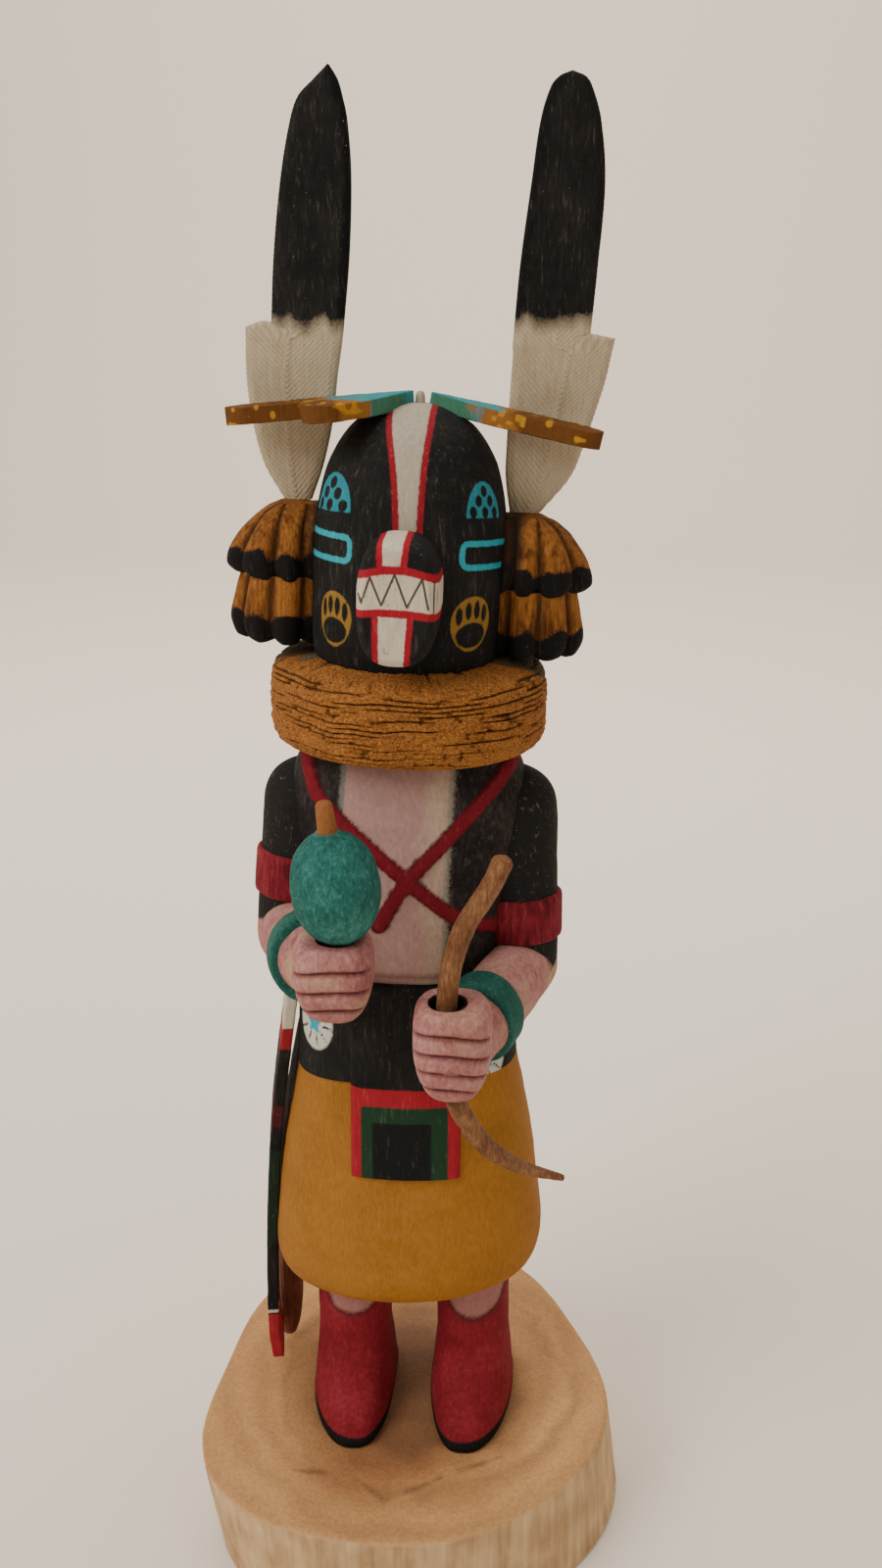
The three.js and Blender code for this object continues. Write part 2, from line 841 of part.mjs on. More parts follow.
// Gourd with its nub, turned about an upright axis over the right fist
function gourdProfile(grow) {
  const gourdBottom = beltTop + arms[RIGHT].fistTop - gourdSink;
  const gourdTop = gourdBottom + gourdHeight;
  const nubTop = gourdTop + nubHeight;
  const points = [new THREE.Vector2(0, gourdBottom - grow)];
  const rows = [[0.03, 0.36], [0.12, 0.68], [0.25, 0.89], [0.42, 1], [0.6, 0.98], [0.76, 0.87], [0.9, 0.62],
    [0.97, 0.36]];
  rows.forEach(([up, wide]) => {
    points.push(new THREE.Vector2(gourdRadius * wide + grow, gourdBottom + gourdHeight * up));
  });
  points.push(new THREE.Vector2(nubRadius, gourdTop - nubHeight * 0.05));
  points.push(new THREE.Vector2(nubRadius * 0.85, nubTop - nubHeight * 0.15));
  points.push(new THREE.Vector2(nubRadius * 0.6, nubTop));
  points.push(new THREE.Vector2(0, nubTop));
  return points;
}

function gourdSolid(grow = 0) {
  const middle = beltTop + arms[RIGHT].fistTop - gourdSink + gourdHeight / 2;
  const gourd = new THREE.LatheGeometry(gourdProfile(grow), 20);
  gourd.rotateX(Math.PI / 2);
  gourd.translate(0, 0, -middle);
  gourd.rotateY(-THREE.MathUtils.degToRad(gourdLean));
  gourd.translate(RIGHT * arms[RIGHT].fist[0] + gourdRadius * 0.08, arms[RIGHT].fist[1], floor + middle);
  return solid(gourd);
}

// Path of the bow from the middle of the left fist, as shares of its reach: it curls out above and below
const bowReach = 39.1;
const bowPath = [
  [0.233, 0, 1],
  [0.164, 0, 0.847],
  [0.056, 0, 0.657],
  [-0.005, 0, 0.458],
  [-0.028, 0, 0.217],
  [-0.023, 0, -0.038],
  [0.02, 0.008, -0.269],
  [0.156, 0.051, -0.524],
  [0.325, 0.128, -0.693],
  [0.542, 0.205, -0.806],
];

function bowCurve() {
  const grip = joint(LEFT, arms[LEFT].fist);
  return new THREE.CatmullRomCurve3(
    bowPath.map((place) => new THREE.Vector3(...place).multiplyScalar(bowReach).add(grip)),
  );
}

// Radius along the bow: round upper end, blunt thinner lower tip
function bowRadiusAt(share) {
  const upper = Math.sqrt(1 - Math.max(0, 1 - share / 0.02) ** 2 * 0.75);
  const lower = 1 - 0.62 * Math.max(0, (share - 0.72) / 0.28) ** 1.6;
  return bowRadius * upper * lower;
}

function boreRadiusAt(share) {
  const mouth = THREE.MathUtils.smoothstep(0.52 - share, 0, 0.06);
  return bowRadius + boreClearance + (boreMouthClearance - boreClearance) * mouth;
}

function makeBow() {
  return solid(rod(bowCurve(), 28, 8, bowRadiusAt));
}

function boreSolid() {
  return solid(rod(bowCurve(), 10, 12, boreRadiusAt, 0.34, 0.74));
}

// Thin board that hangs at the right hip and follows the kilt's side: its rows are shares of the belt's
// height and of the kilt's width
function makeSash() {
  const rows = [
    [0.073, 1.095],
    [0.12, 1.115],
    [0.19, 1.12],
    [0.395, 1.095],
    [0.563, 1.05],
    [0.677, 1.007],
    [0.805, 0.94],
    [0.9, 0.888],
    [0.964, 0.855],
  ];
  const turn = THREE.MathUtils.degToRad(sashTurn);
  const rings = splitRows(rows, 2).map(([share, out]) => {
    const corners = [[0.5, -0.5], [0.5, 0.5], [-0.5, 0.5], [-0.5, -0.5]];
    return corners.map(([across, along]) => {
      const [a, b] = [across * sashThickness, along * sashWidth];
      return new THREE.Vector3(
        (RIGHT * out * kiltWidth) / 2 + a * Math.cos(turn) - b * Math.sin(turn),
        b * Math.cos(turn) + a * Math.sin(turn),
        floor + share * beltTop,
      );
    });
  });
  return solid(loft(rings)).subtract(kiltSolid(touchGap)).subtract(beltSolid(touchGap));
}

// Pelt that hangs behind the sash, tapering to its tip: its rows are shares of the belt's height and of the
// kilt's width and depth
function makePelt() {
  const rows = [
    [0.022, 1.075, 0.475, 0.25],
    [0.055, 1.073, 0.5, 0.55],
    [0.127, 1.065, 0.55, 0.85],
    [0.255, 1.05, 0.62, 1],
    [0.455, 1.02, 0.72, 1],
    [0.68, 0.9, 0.76, 0.9],
    [0.836, 0.78, 0.75, 0.75],
    [0.955, 0.7, 0.7, 0.6],
  ];
  const rings = splitRows(rows, 2).map(([share, out, back, full]) => {
    const points = [];
    const count = 12;
    for (let i = 0; i < count; i += 1) {
      const turn = (2 * Math.PI * i) / count;
      const across = (peltThickness / 2) * Math.sqrt(full) * Math.cos(turn);
      const along = (peltWidth / 2) * full * Math.sin(turn);
      points.push(new THREE.Vector3(
        (RIGHT * out * kiltWidth) / 2 + across,
        kiltBack * back + along,
        floor + share * beltTop,
      ));
    }
    return points;
  });
  return solid(loft(rings)).subtract(kiltSolid(touchGap)).subtract(beltSolid(touchGap))
    .subtract(sashRoom());
}

// Room that the pelt leaves for the sash board
function sashRoom() {
  const halfAcross = (sashWidth / 2) * Math.cos(THREE.MathUtils.degToRad(sashTurn));
  const edge = halfAcross + sashThickness * 0.1 + touchGap;
  return block([-kiltWidth, -edge, floor], [0, edge, floor + beltTop]);
}

function makeFigure() {
  let figure = kiltSolid().add(beltSolid()).add(apronSolid()).add(torsoSolid()).add(strapSolids());
  [RIGHT, LEFT].forEach((side) => {
    figure = figure.add(bootSolid(side)).add(armSolid(side)).add(fistSolid(side));
  });
  return figure.add(ruffSolid()).add(leaning(headSolid())).add(bossSolid())
    .subtract(gourdSolid(touchGap)).subtract(boreSolid());
}

const colours = {
  base: '#cba57c',
  figure: '#a8752a',
  snout: '#cfc9bb',
  tuft: '#6b4422',
  feather: '#3a3836',
  crown: '#8a6a3a',
  rattle: '#2f8a82',
  bow: '#8a5f35',
  sash: '#3b2422',
  pelt: '#7a4a35',
};

const group = new THREE.Group();

function place(name, made, colour) {
  const geometry = made.isBufferGeometry ? made : geometryOf(made);
  const mesh = new THREE.Mesh(geometry, new THREE.MeshStandardMaterial({ color: colour }));
  mesh.name = name;
  group.add(mesh);
}

place('base', makeBase(), colours.base);
place('figure', makeFigure(), colours.figure);
place('snout', makeSnout(), colours.snout);
place('ear_tuft_right', makeTuft(RIGHT), colours.tuft);
place('ear_tuft_left', makeTuft(LEFT), colours.tuft);
place('tall_feather_right', makeTallFeather(RIGHT), colours.feather);
place('tall_feather_left', makeTallFeather(LEFT), colours.feather);
place('crown_feather_right', makeCrownPlate(crownPlates.right), colours.crown);
place('crown_feather_front', makeCrownPlate(crownPlates.front), colours.crown);
place('crown_feather_left', makeCrownPlate(crownPlates.left), colours.crown);
place('rattle', gourdSolid(), colours.rattle);
place('bow', makeBow(), colours.bow);
place('side_sash', makeSash(), colours.sash);
place('fox_pelt', makePelt(), colours.pelt);

export default group;
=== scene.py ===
"""Carved and painted kachina doll on a live-edge slice of wood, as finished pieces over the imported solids."""

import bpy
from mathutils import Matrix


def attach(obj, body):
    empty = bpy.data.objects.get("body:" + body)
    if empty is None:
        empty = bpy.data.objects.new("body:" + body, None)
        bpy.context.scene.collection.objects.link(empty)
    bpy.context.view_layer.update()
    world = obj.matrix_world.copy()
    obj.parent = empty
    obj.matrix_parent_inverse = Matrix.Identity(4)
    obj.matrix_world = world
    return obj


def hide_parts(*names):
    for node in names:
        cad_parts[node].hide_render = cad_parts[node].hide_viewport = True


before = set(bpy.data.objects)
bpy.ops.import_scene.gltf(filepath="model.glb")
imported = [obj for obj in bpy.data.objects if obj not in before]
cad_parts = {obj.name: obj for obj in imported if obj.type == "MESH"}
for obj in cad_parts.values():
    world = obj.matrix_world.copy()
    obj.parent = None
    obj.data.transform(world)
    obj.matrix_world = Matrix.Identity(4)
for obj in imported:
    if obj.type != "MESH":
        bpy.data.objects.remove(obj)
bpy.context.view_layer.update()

import logging
import math
from collections.abc import Iterable
from dataclasses import dataclass, field
from enum import Enum, IntEnum

import bpy
import numpy as np
from mathutils import Matrix, Vector

LOG = logging.getLogger("doll")
MM = 0.001
FLOOR = 25.0
GAP = 0.3
FAR = 9.0


class Side(Enum):
    """The doll's own right and left, as the sign of x."""

    RIGHT = -1
    LEFT = 1


class Coat(IntEnum):
    """Material slots of the figure's carving, in the order of Figure.finishes."""

    KILT, BELT, APRON, TORSO, SKIN, ARMBAND, WRISTBAND, BOOT, RUFF, MASK = range(10)


# Numbers and surfaces


def rows_at(rows: list, ups: np.ndarray) -> np.ndarray:
    """Smooth values of a table's columns at the given first-column values.

    Args:
        rows: Table whose first column rises.
        ups: Values of the first column to read at.

    Returns:
        One row of values for each entry of ups.
    """
    table = np.array(rows, float)
    ups = np.asarray(ups, float)
    i = np.clip(np.searchsorted(table[:, 0], ups, side="right") - 1, 0, len(table) - 2)
    a, b = table[i], table[i + 1]
    before, after = table[np.maximum(i - 1, 0)], table[np.minimum(i + 2, len(table) - 1)]
    span = (b[:, 0] - a[:, 0])[:, None]
    t = ((ups - a[:, 0]) / span[:, 0])[:, None]
    slope_in = (b - before) / (b[:, :1] - before[:, :1])
    slope_out = (after - a) / (after[:, :1] - a[:, :1])
    return (
        a
        + (b - a) * (3 * t**2 - 2 * t**3)
        + span * slope_in * (t**3 - 2 * t**2 + t)
        + span * slope_out * (t**3 - t**2)
    )


def stops(rows: list, count: int) -> np.ndarray:
    """Evenly weighted stops along a table, with every row kept among them."""
    edges = np.array([row[0] for row in rows], float)
    lengths = np.diff(edges) / (edges[-1] - edges[0])
    parts = np.maximum(2, np.round(lengths * count)).astype(int)
    pieces = [np.linspace(edges[k], edges[k + 1], n, endpoint=False) for k, n in enumerate(parts)]
    return np.concatenate([*pieces, edges[-1:]])


def bent(value: np.ndarray, power: float) -> np.ndarray:
    """Signed power, for the rounded squares of a superellipse."""
    return np.sign(value) * np.abs(value) ** power


def smooth(value: np.ndarray, low: float, high: float) -> np.ndarray:
    """Smooth step from 0 at low to 1 at high."""
    t = np.clip((value - low) / (high - low), 0, 1)
    return t * t * (3 - 2 * t)


def speckle(points: np.ndarray, size: tuple | float, seed: int = 1) -> np.ndarray:
    """Smooth value noise between -1 and 1.

    Args:
        points: Array of places, last axis x, y, z in mm.
        size: Grain size in mm, one number or one for each axis.
        seed: Fixed seed.

    Returns:
        The noise at each place.
    """
    q = points / np.asarray(size, float)
    cell = np.floor(q).astype(np.int64)
    f = q - cell
    f = f * f * (3 - 2 * f)
    total = np.zeros(q.shape[:-1])
    for dx in (0, 1):
        for dy in (0, 1):
            for dz in (0, 1):
                h = (
                    (cell[..., 0] + dx) * 73856093
                    ^ (cell[..., 1] + dy) * 19349663
                    ^ (cell[..., 2] + dz) * 83492791
                    ^ seed * 2654435761
                ) & 0xFFFFFFFF
                h = ((h ^ (h >> 15)) * 2246822519) & 0xFFFFFFFF
                h = ((h ^ (h >> 13)) * 3266489917) & 0xFFFFFFFF
                value = ((h ^ (h >> 16)) & 0xFFFF) / 32767.5 - 1
                weight = (
                    (f[..., 0] if dx else 1 - f[..., 0])
                    * (f[..., 1] if dy else 1 - f[..., 1])
                    * (f[..., 2] if dz else 1 - f[..., 2])
                )
                total += value * weight
    return total


@dataclass
class Shell:
    """Closed skin on a grid of rings, with paint distances on its points.

    Attributes:
        grid: Ring points in mm, shaped rings by points by 3.
        finish: Index of the material slot.
        marks: Named distances in mm on the same grid, below zero inside the mark.
    """

    grid: np.ndarray
    finish: int = 0
    marks: dict = field(default_factory=dict)

    def normals(self) -> np.ndarray:
        """Outward normals of the grid, which closes round each ring."""
        round_ring = np.roll(self.grid, -1, 1) - np.roll(self.grid, 1, 1)
        along = np.gradient(self.grid, axis=0)
        cross = np.cross(round_ring, along)
        cross /= np.maximum(np.linalg.norm(cross, axis=-1, keepdims=True), 1e-9)
        middle = self.grid.mean(1, keepdims=True)
        return cross * np.sign(((self.grid - middle) * cross).sum() or 1)

    def raise_by(self, height: np.ndarray) -> "Shell":
        """Move every point along its normal by a height in mm."""
        self.grid = self.grid + self.normals() * height[..., None]
        return self


def finished(
    name: str, shells: list, finishes: list, node: str, scored: "Barbs | None" = None
) -> bpy.types.Object:
    """Join shells into one piece and hand it to the frame.

    Args:
        name: Name of the piece.
        shells: The skins that it is made of.
        finishes: Materials, one for each slot index used.
        node: CAD node that it stands for.
        scored: Barb grooves to cut into it.

    Returns:
        The new object, which rides on the root body.
    """
    names = sorted({key for shell in shells for key in shell.marks})
    places, faces, kinds, marks = [], [], [], {key: [] for key in names}
    start = 0
    for shell in shells:
        rings, count, _ = shell.grid.shape
        ends = np.stack([shell.grid[0].mean(0), shell.grid[-1].mean(0)])
        places += [shell.grid.reshape(-1, 3), ends]
        for key in names:
            values = shell.marks.get(key)
            values = np.full((rings, count), FAR) if values is None else values
            marks[key] += [values.ravel(), [values[0].mean(), values[-1].mean()]]
        i = np.arange(count)
        j = (i + 1) % count
        k = (np.arange(rings - 1) * count)[:, None]
        quads = np.stack([k + i, k + j, k + j + count, k + i + count], -1).reshape(-1, 4)
        low, high, last = rings * count, rings * count + 1, (rings - 1) * count
        caps = [[low, b, a] for a, b in zip(i, j)] + [[high, last + a, last + b] for a, b in zip(i, j)]
        middle = shell.grid.mean(1, keepdims=True)
        cross = np.cross(np.roll(shell.grid, -1, 1) - shell.grid, np.gradient(shell.grid, axis=0))
        outward = ((shell.grid - middle) * cross).sum() > 0
        for face in [*quads.tolist(), *caps]:
            face = [start + p for p in face]
            faces.append(face if outward else face[::-1])
        kinds += [shell.finish] * (len(quads) + len(caps))
        start += rings * count + 2
    mesh = bpy.data.meshes.new(name)
    mesh.from_pydata((np.concatenate(places) * MM).tolist(), [], faces)
    for material in finishes:
        mesh.materials.append(material)
    mesh.polygons.foreach_set("material_index", kinds)
    mesh.polygons.foreach_set("use_smooth", [True] * len(faces))
    for key in names:
        layer = mesh.attributes.new(key, "FLOAT", "POINT")
        layer.data.foreach_set("value", np.concatenate([np.ravel(m) for m in marks[key]]).astype(np.float32))
    mesh.update()
    mesh.set_sharp_from_angle(angle=math.radians(50))
    piece = bpy.data.objects.new(name, mesh)
    bpy.context.scene.collection.objects.link(piece)
    if scored:
        scored.cut(piece)
    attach(piece, "root")
    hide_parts(node)
    LOG.info("%s: %d faces", name, len(faces))
    return piece


# Marks: distances in mm from painted outlines, below zero inside


def box_mark(x: np.ndarray, z: np.ndarray, half_x: float, half_z: float, corner: float = 0.0) -> np.ndarray:
    """Distance from a rectangle with rounded corners round the origin."""
    dx, dz = np.abs(x) - half_x + corner, np.abs(z) - half_z + corner
    return np.hypot(np.maximum(dx, 0), np.maximum(dz, 0)) + np.minimum(np.maximum(dx, dz), 0) - corner


def oval_mark(x: np.ndarray, z: np.ndarray, half_x: float, half_z: float) -> np.ndarray:
    """Distance, nearly, from an ellipse round the origin."""
    return (np.hypot(x / half_x, z / half_z) - 1) * np.minimum(half_x, half_z)


def line_mark(x: np.ndarray, z: np.ndarray, start: tuple, end: tuple, half: float) -> np.ndarray:
    """Distance from a brush line between two places."""
    vx, vz = end[0] - start[0], end[1] - start[1]
    t = np.clip(((x - start[0]) * vx + (z - start[1]) * vz) / (vx * vx + vz * vz), 0, 1)
    return np.hypot(x - start[0] - t * vx, z - start[1] - t * vz) - half


def fence(inside: np.ndarray) -> np.ndarray:
    """Mark that is well below zero where a condition holds and well above it elsewhere."""
    return np.where(inside, -FAR, FAR)


def union(marks: Iterable) -> np.ndarray:
    """Distance from the nearest of several marks, at most FAR."""
    return np.minimum(FAR, np.minimum.reduce(list(marks)))


# Finishes


def linear(colour: str) -> tuple:
    """Linear RGBA of an sRGB hex colour."""
    parts = [int(colour[i : i + 2], 16) / 255 for i in (1, 3, 5)]
    return (*[c / 12.92 if c <= 0.04045 else ((c + 0.055) / 1.055) ** 2.4 for c in parts], 1.0)


def add(
    tree: bpy.types.NodeTree, kind: str, feeds: dict | None = None, out: int | str = 0, **settings: object
) -> bpy.types.NodeSocket | None:
    """Add a node with its settings and links.

    Args:
        tree: Tree to add to.
        kind: Node type.
        feeds: Value or source socket for each input, by name or index.
        out: Name or index of the output that is wanted.
        **settings: Properties of the node.

    Returns:
        That output, or None where the node has none.
    """
    node = tree.nodes.new(kind)
    for key, value in settings.items():
        setattr(node, key, value)
    for key, value in (feeds or {}).items():
        if isinstance(value, bpy.types.NodeSocket):
            tree.links.new(value, node.inputs[key])
        else:
            node.inputs[key].default_value = value
    return node.outputs[out] if len(node.outputs) else None


@dataclass(frozen=True)
class Paint:
    """One painted mark over the ground colour.

    Attributes:
        mark: Attribute with the distance from the mark's outline in mm.
        colour: sRGB hex colour.
        soft: Width of the blend at its edge in mm.
        ragged: How far the brush wandered, in mm.
        cover: Share of the ground that it hides.
    """

    mark: str
    colour: str
    soft: float = 0.25
    ragged: float = 0.35
    cover: float = 1.0


@dataclass(frozen=True)
class PaintedWood:
    """Matte artist's paint on carved root wood: chalky, fibres showing through, dust in the hollows.

    Attributes:
        name: Name of the finish.
        ground: Ground colour.
        deep: Darker tone of the ground, in the hollows and thin places.
        worn: Lighter tone, where the paint is rubbed or dusty.
        paints: Marks from the lowest to the topmost.
        fibre: Size of the fibres across in mm, along them 8 times as long.
        relief: Depth of the fibre relief in mm.
        rough: Roughness.
        contrast: Strength of the tones.
        fleck: Colour of flecks and scuffs.
        flecks: Share of the surface that flecks cover.
        scuff: Cover of the pale scuffs along the fibres.
        mottle: Strength of the broad clouds of tone.
        grain: Stretch of the fibres along x, y and z.
    """

    name: str
    ground: str
    deep: str
    worn: str
    paints: tuple = ()
    fibre: float = 0.35
    relief: float = 0.05
    rough: float = 0.78
    contrast: float = 0.6
    fleck: str = "#b9ad9b"
    flecks: float = 0.01
    scuff: float = 0.1
    mottle: float = 1.0
    grain: tuple = (1.0, 1.0, 0.14)

    def material(self) -> bpy.types.Material:
        """Build the node tree of this finish."""
        made = bpy.data.materials.new(self.name)
        made.use_nodes = True
        tree = made.node_tree
        tree.nodes.clear()
        where = add(tree, "ShaderNodeTexCoord", out="Object")
        along = add(tree, "ShaderNodeMapping", {"Vector": where, "Scale": self.grain})
        fibres, clouds, grit = (
            add(tree, "ShaderNodeTexNoise",
                {"Vector": vector, "Scale": 1 / (size * MM), "Detail": detail, "Roughness": rough})
            for vector, size, detail, rough in (
                (along, self.fibre * 2.2, 4.0, 0.65), (where, 9, 5.0, 0.6), (where, 0.5, 3.0, 0.7))
        )
        broad = add(
            tree,
            "ShaderNodeMath",
            {0: clouds, 1: self.mottle, 2: 0.5 - self.mottle / 2},
            operation="MULTIPLY_ADD"
        )
        tone = add(tree, "ShaderNodeMath", {0: fibres, 1: broad}, operation="ADD")
        tone = add(
            tree,
            "ShaderNodeMapRange",
            {"Value": tone, "From Min": 0.78, "From Max": 1.22,
             "To Min": -self.contrast, "To Max": self.contrast}
        )
        colour = linear(self.ground)
        for sign, other in ((-1.0, self.deep), (1.0, self.worn)):
            share = add(tree, "ShaderNodeMath", {0: tone, 1: sign}, operation="MULTIPLY", use_clamp=True)
            feeds = {0: share, 6: colour, 7: linear(other)}
            colour = add(tree, "ShaderNodeMix", feeds, out=2, data_type="RGBA")
        shade = add(
            tree,
            "ShaderNodeMapRange",
            {"Value": fibres, "From Min": 0.3, "From Max": 0.7, "To Min": 0.78, "To Max": 1.14}
        )
        for paint in self.paints:
            colour = self.painted(tree, colour, paint, clouds, grit, shade)
        dust = add(
            tree,
            "ShaderNodeMapRange",
            {"Value": grit, "From Min": 0.7 - self.flecks, "From Max": 0.76 - self.flecks, "To Max": 0.55}
        )
        scuffs = add(
            tree,
            "ShaderNodeMapRange",
            {"Value": fibres, "From Min": 0.6, "From Max": 0.76, "To Max": self.scuff}
        )
        dust = add(tree, "ShaderNodeMath", {0: dust, 1: scuffs}, operation="MAXIMUM")
        colour = add(
            tree, "ShaderNodeMix", {0: dust, 6: colour, 7: linear(self.fleck)}, data_type="RGBA", out=2
        )
        height = add(tree, "ShaderNodeMath", {0: fibres, 1: grit}, operation="ADD")
        bump = add(
            tree, "ShaderNodeBump", {"Height": height, "Strength": 0.7, "Distance": self.relief * MM * 2.5}
        )
        rough = add(
            tree,
            "ShaderNodeMapRange",
            {"Value": grit, "From Min": 0.3, "From Max": 0.7,
             "To Min": self.rough - 0.08, "To Max": self.rough + 0.1}
        )
        shader = add(
            tree,
            "ShaderNodeBsdfPrincipled",
            {"Base Color": colour, "Roughness": rough, "Normal": bump, "Specular IOR Level": 0.14}
        )
        add(tree, "ShaderNodeOutputMaterial", {"Surface": shader})
        return made

    def painted(
        self,
        tree: bpy.types.NodeTree,
        colour: bpy.types.NodeSocket,
        paint: Paint,
        clouds: bpy.types.NodeSocket,
        grit: bpy.types.NodeSocket,
        shade: bpy.types.NodeSocket,
    ) -> bpy.types.NodeSocket:
        """Lay one mark over the colours below it.

        Args:
            tree: Tree of the finish.
            colour: Colours so far.
            paint: The mark.
            clouds: Coarse noise, for the tone.
            grit: Fine noise, for the ragged edge.
            shade: Light and dark of the fibres.

        Returns:
            The colours with the mark on them.
        """
        outline = add(tree, "ShaderNodeAttribute", attribute_name=paint.mark, out="Fac")
        wander = add(
            tree, "ShaderNodeMath", {0: grit, 1: 2 * paint.ragged, 2: outline}, operation="MULTIPLY_ADD"
        )
        inside = add(
            tree,
            "ShaderNodeMapRange",
            {
                "Value": wander,
                "From Min": paint.ragged + paint.soft / 2,
                "From Max": paint.ragged - paint.soft / 2,
                "To Max": paint.cover,
            }
        )
        full = linear(paint.colour)
        thin = (*[c * 0.8 for c in full[:3]], 1.0)
        tint = add(tree, "ShaderNodeMix", {0: clouds, 6: thin, 7: full}, data_type="RGBA", out=2)
        tint = add(
            tree, "ShaderNodeMix", {0: 0.75, 6: tint, 7: shade},
            data_type="RGBA", blend_type="MULTIPLY", out=2
        )
        return add(tree, "ShaderNodeMix", {0: inside, 6: colour, 7: tint}, data_type="RGBA", out=2)


BLACK, BLACK_DEEP, BLACK_WORN = "#1a1918", "#0d0d0d", "#2c2927"
RED, TURQUOISE = "#96222a", "#2ba3b4"
WHITE = "#c9bfac"


# Bodies of level rings


@dataclass
class Body:
    """Stack of level superellipse rings from a table of up, wide, front and back shares."""

    rows: list
    bottom: float
    top: float
    x: float
    width: float
    front: float
    back: float
    power: float
    y: float = 0.0

    def rings(self, stacked: int, angles: np.ndarray) -> np.ndarray:
        """Grid of points, from bottom to top, at the given angles."""
        values = rows_at(self.rows, stops(self.rows, stacked))
        side = bent(np.cos(angles), 2 / self.power)
        depth = bent(np.sin(angles), 2 / self.power)
        x = self.x + self.width / 2 * values[:, 1:2] * side
        y = self.y + depth * np.where(depth < 0, self.front * values[:, 2:3], self.back * values[:, 3:4])
        z = FLOOR + self.bottom + (self.top - self.bottom) * values[:, :1] + 0 * x
        return np.stack([x, y, z], -1)

    def front_at(self, x: np.ndarray, up: np.ndarray) -> np.ndarray:
        """Y of the front surface at x and at heights above the base's top."""
        share = np.clip((up - self.bottom) / (self.top - self.bottom), 0, 1)
        values = rows_at(self.rows, np.ravel(share)).reshape(*share.shape, -1)
        side = np.clip(np.abs((x - self.x) / (self.width / 2 * values[..., 1])), 0, 0.999)
        return self.y - self.front * values[..., 2] * (1 - side**self.power) ** (1 / self.power)


def turns(count: int) -> np.ndarray:
    """Even angles once round."""
    return np.arange(count) * 2 * math.pi / count


KILT = Body(
    [
        [0, 0.6, 0.6, 0.6], [0.008, 0.8, 0.8, 0.8], [0.04, 0.915, 0.915, 0.915], [0.09, 0.975, 0.975, 0.975],
        [0.18, 1, 1, 1], [0.4, 0.965, 0.97, 0.97], [0.64, 0.905, 0.93, 0.935], [0.88, 0.815, 0.87, 0.88],
        [1, 0.77, 0.845, 0.865],
    ],
    bottom=33.3, top=88.5, x=-1.7, width=59.2, front=20.5, back=20, power=2.25,
)
BELT = Body(
    [[0, 0.787, 0.87, 0.89], [0.5, 0.767, 0.86, 0.875], [0.94, 0.747, 0.845, 0.86], [1, 0.717, 0.814, 0.825]],
    bottom=88.5, top=110, x=-1.7, width=59.2, front=20.5, back=20, power=2.25,
)
TORSO = Body(
    [
        [0, 0.8, 0.96, 0.97], [0.14, 0.82, 0.97, 0.98], [0.34, 0.87, 1, 1], [0.54, 0.94, 1, 1],
        [0.7, 1, 0.97, 0.98], [0.84, 0.97, 0.9, 0.92], [0.94, 0.84, 0.78, 0.8], [1, 0.64, 0.62, 0.64],
    ],
    bottom=107.4, top=159, x=-0.85, width=47, front=17, back=15.5, power=2.4,
)
HEAD = Body(
    [
        [0, 0.9, 0.88, 0.9], [0.06, 0.97, 0.96, 0.97], [0.16, 1, 1, 1], [0.508, 0.99, 0.99, 0.99],
        [0.637, 0.951, 0.955, 0.955], [0.748, 0.885, 0.89, 0.89], [0.838, 0.776, 0.785, 0.785],
        [0.918, 0.612, 0.62, 0.62], [0.963, 0.43, 0.43, 0.43], [0.99, 0.25, 0.25, 0.25],
        [1, 0.12, 0.12, 0.12],
    ],
    bottom=171.2, top=220, x=-1.3, width=36.6, front=19.2, back=18, power=2.15,
)
RUFF = Body(
    [
        [0, 0.78, 0.78, 0.78], [0.05, 0.91, 0.91, 0.91], [0.16, 0.985, 0.985, 0.985], [0.4, 1, 1, 1],
        [0.72, 0.995, 0.995, 0.995], [0.84, 0.975, 0.975, 0.975], [0.9, 0.94, 0.94, 0.94],
        [0.95, 0.87, 0.87, 0.87], [1, 0.72, 0.72, 0.72],
    ],
    bottom=156, top=173.6, x=-0.7, width=53.4, front=25.2, back=25.2, power=2.15,
)
CROWN_CENTRE = (1.7, 0.5)
RUFF_SLOPE = math.tan(math.radians(1.6))
HEAD_LEAN, KILT_LIFT = 3, 1.5
BOOT_ROWS = [
    [0, 0.95, 0.99, 0.98], [0.1, 1, 1, 1], [0.3, 0.99, 0.93, 0.96], [0.55, 0.96, 0.74, 0.86],
    [0.8, 0.92, 0.53, 0.74], [1, 0.9, 0.45, 0.67], [44.3 / 17, 0.9, 0.42, 0.65],
]


def leaning(grid: np.ndarray) -> np.ndarray:
    """Turn points with the lean of the mask, about the middle of the ruff's top."""
    pivot = np.array([HEAD.x, 0, FLOOR + RUFF.top])
    turn = np.array(Matrix.Rotation(math.radians(HEAD_LEAN), 3, "Y"))
    return (grid - pivot) @ turn.T + pivot


def kilt_tilt(grid: np.ndarray, share: np.ndarray | float = 1.0) -> np.ndarray:
    """Lift the doll's left side of a kilt or belt and lower its right side."""
    grid[..., 2] += share * KILT_LIFT * (grid[..., 0] - KILT.x) / (KILT.width / 2)
    return grid


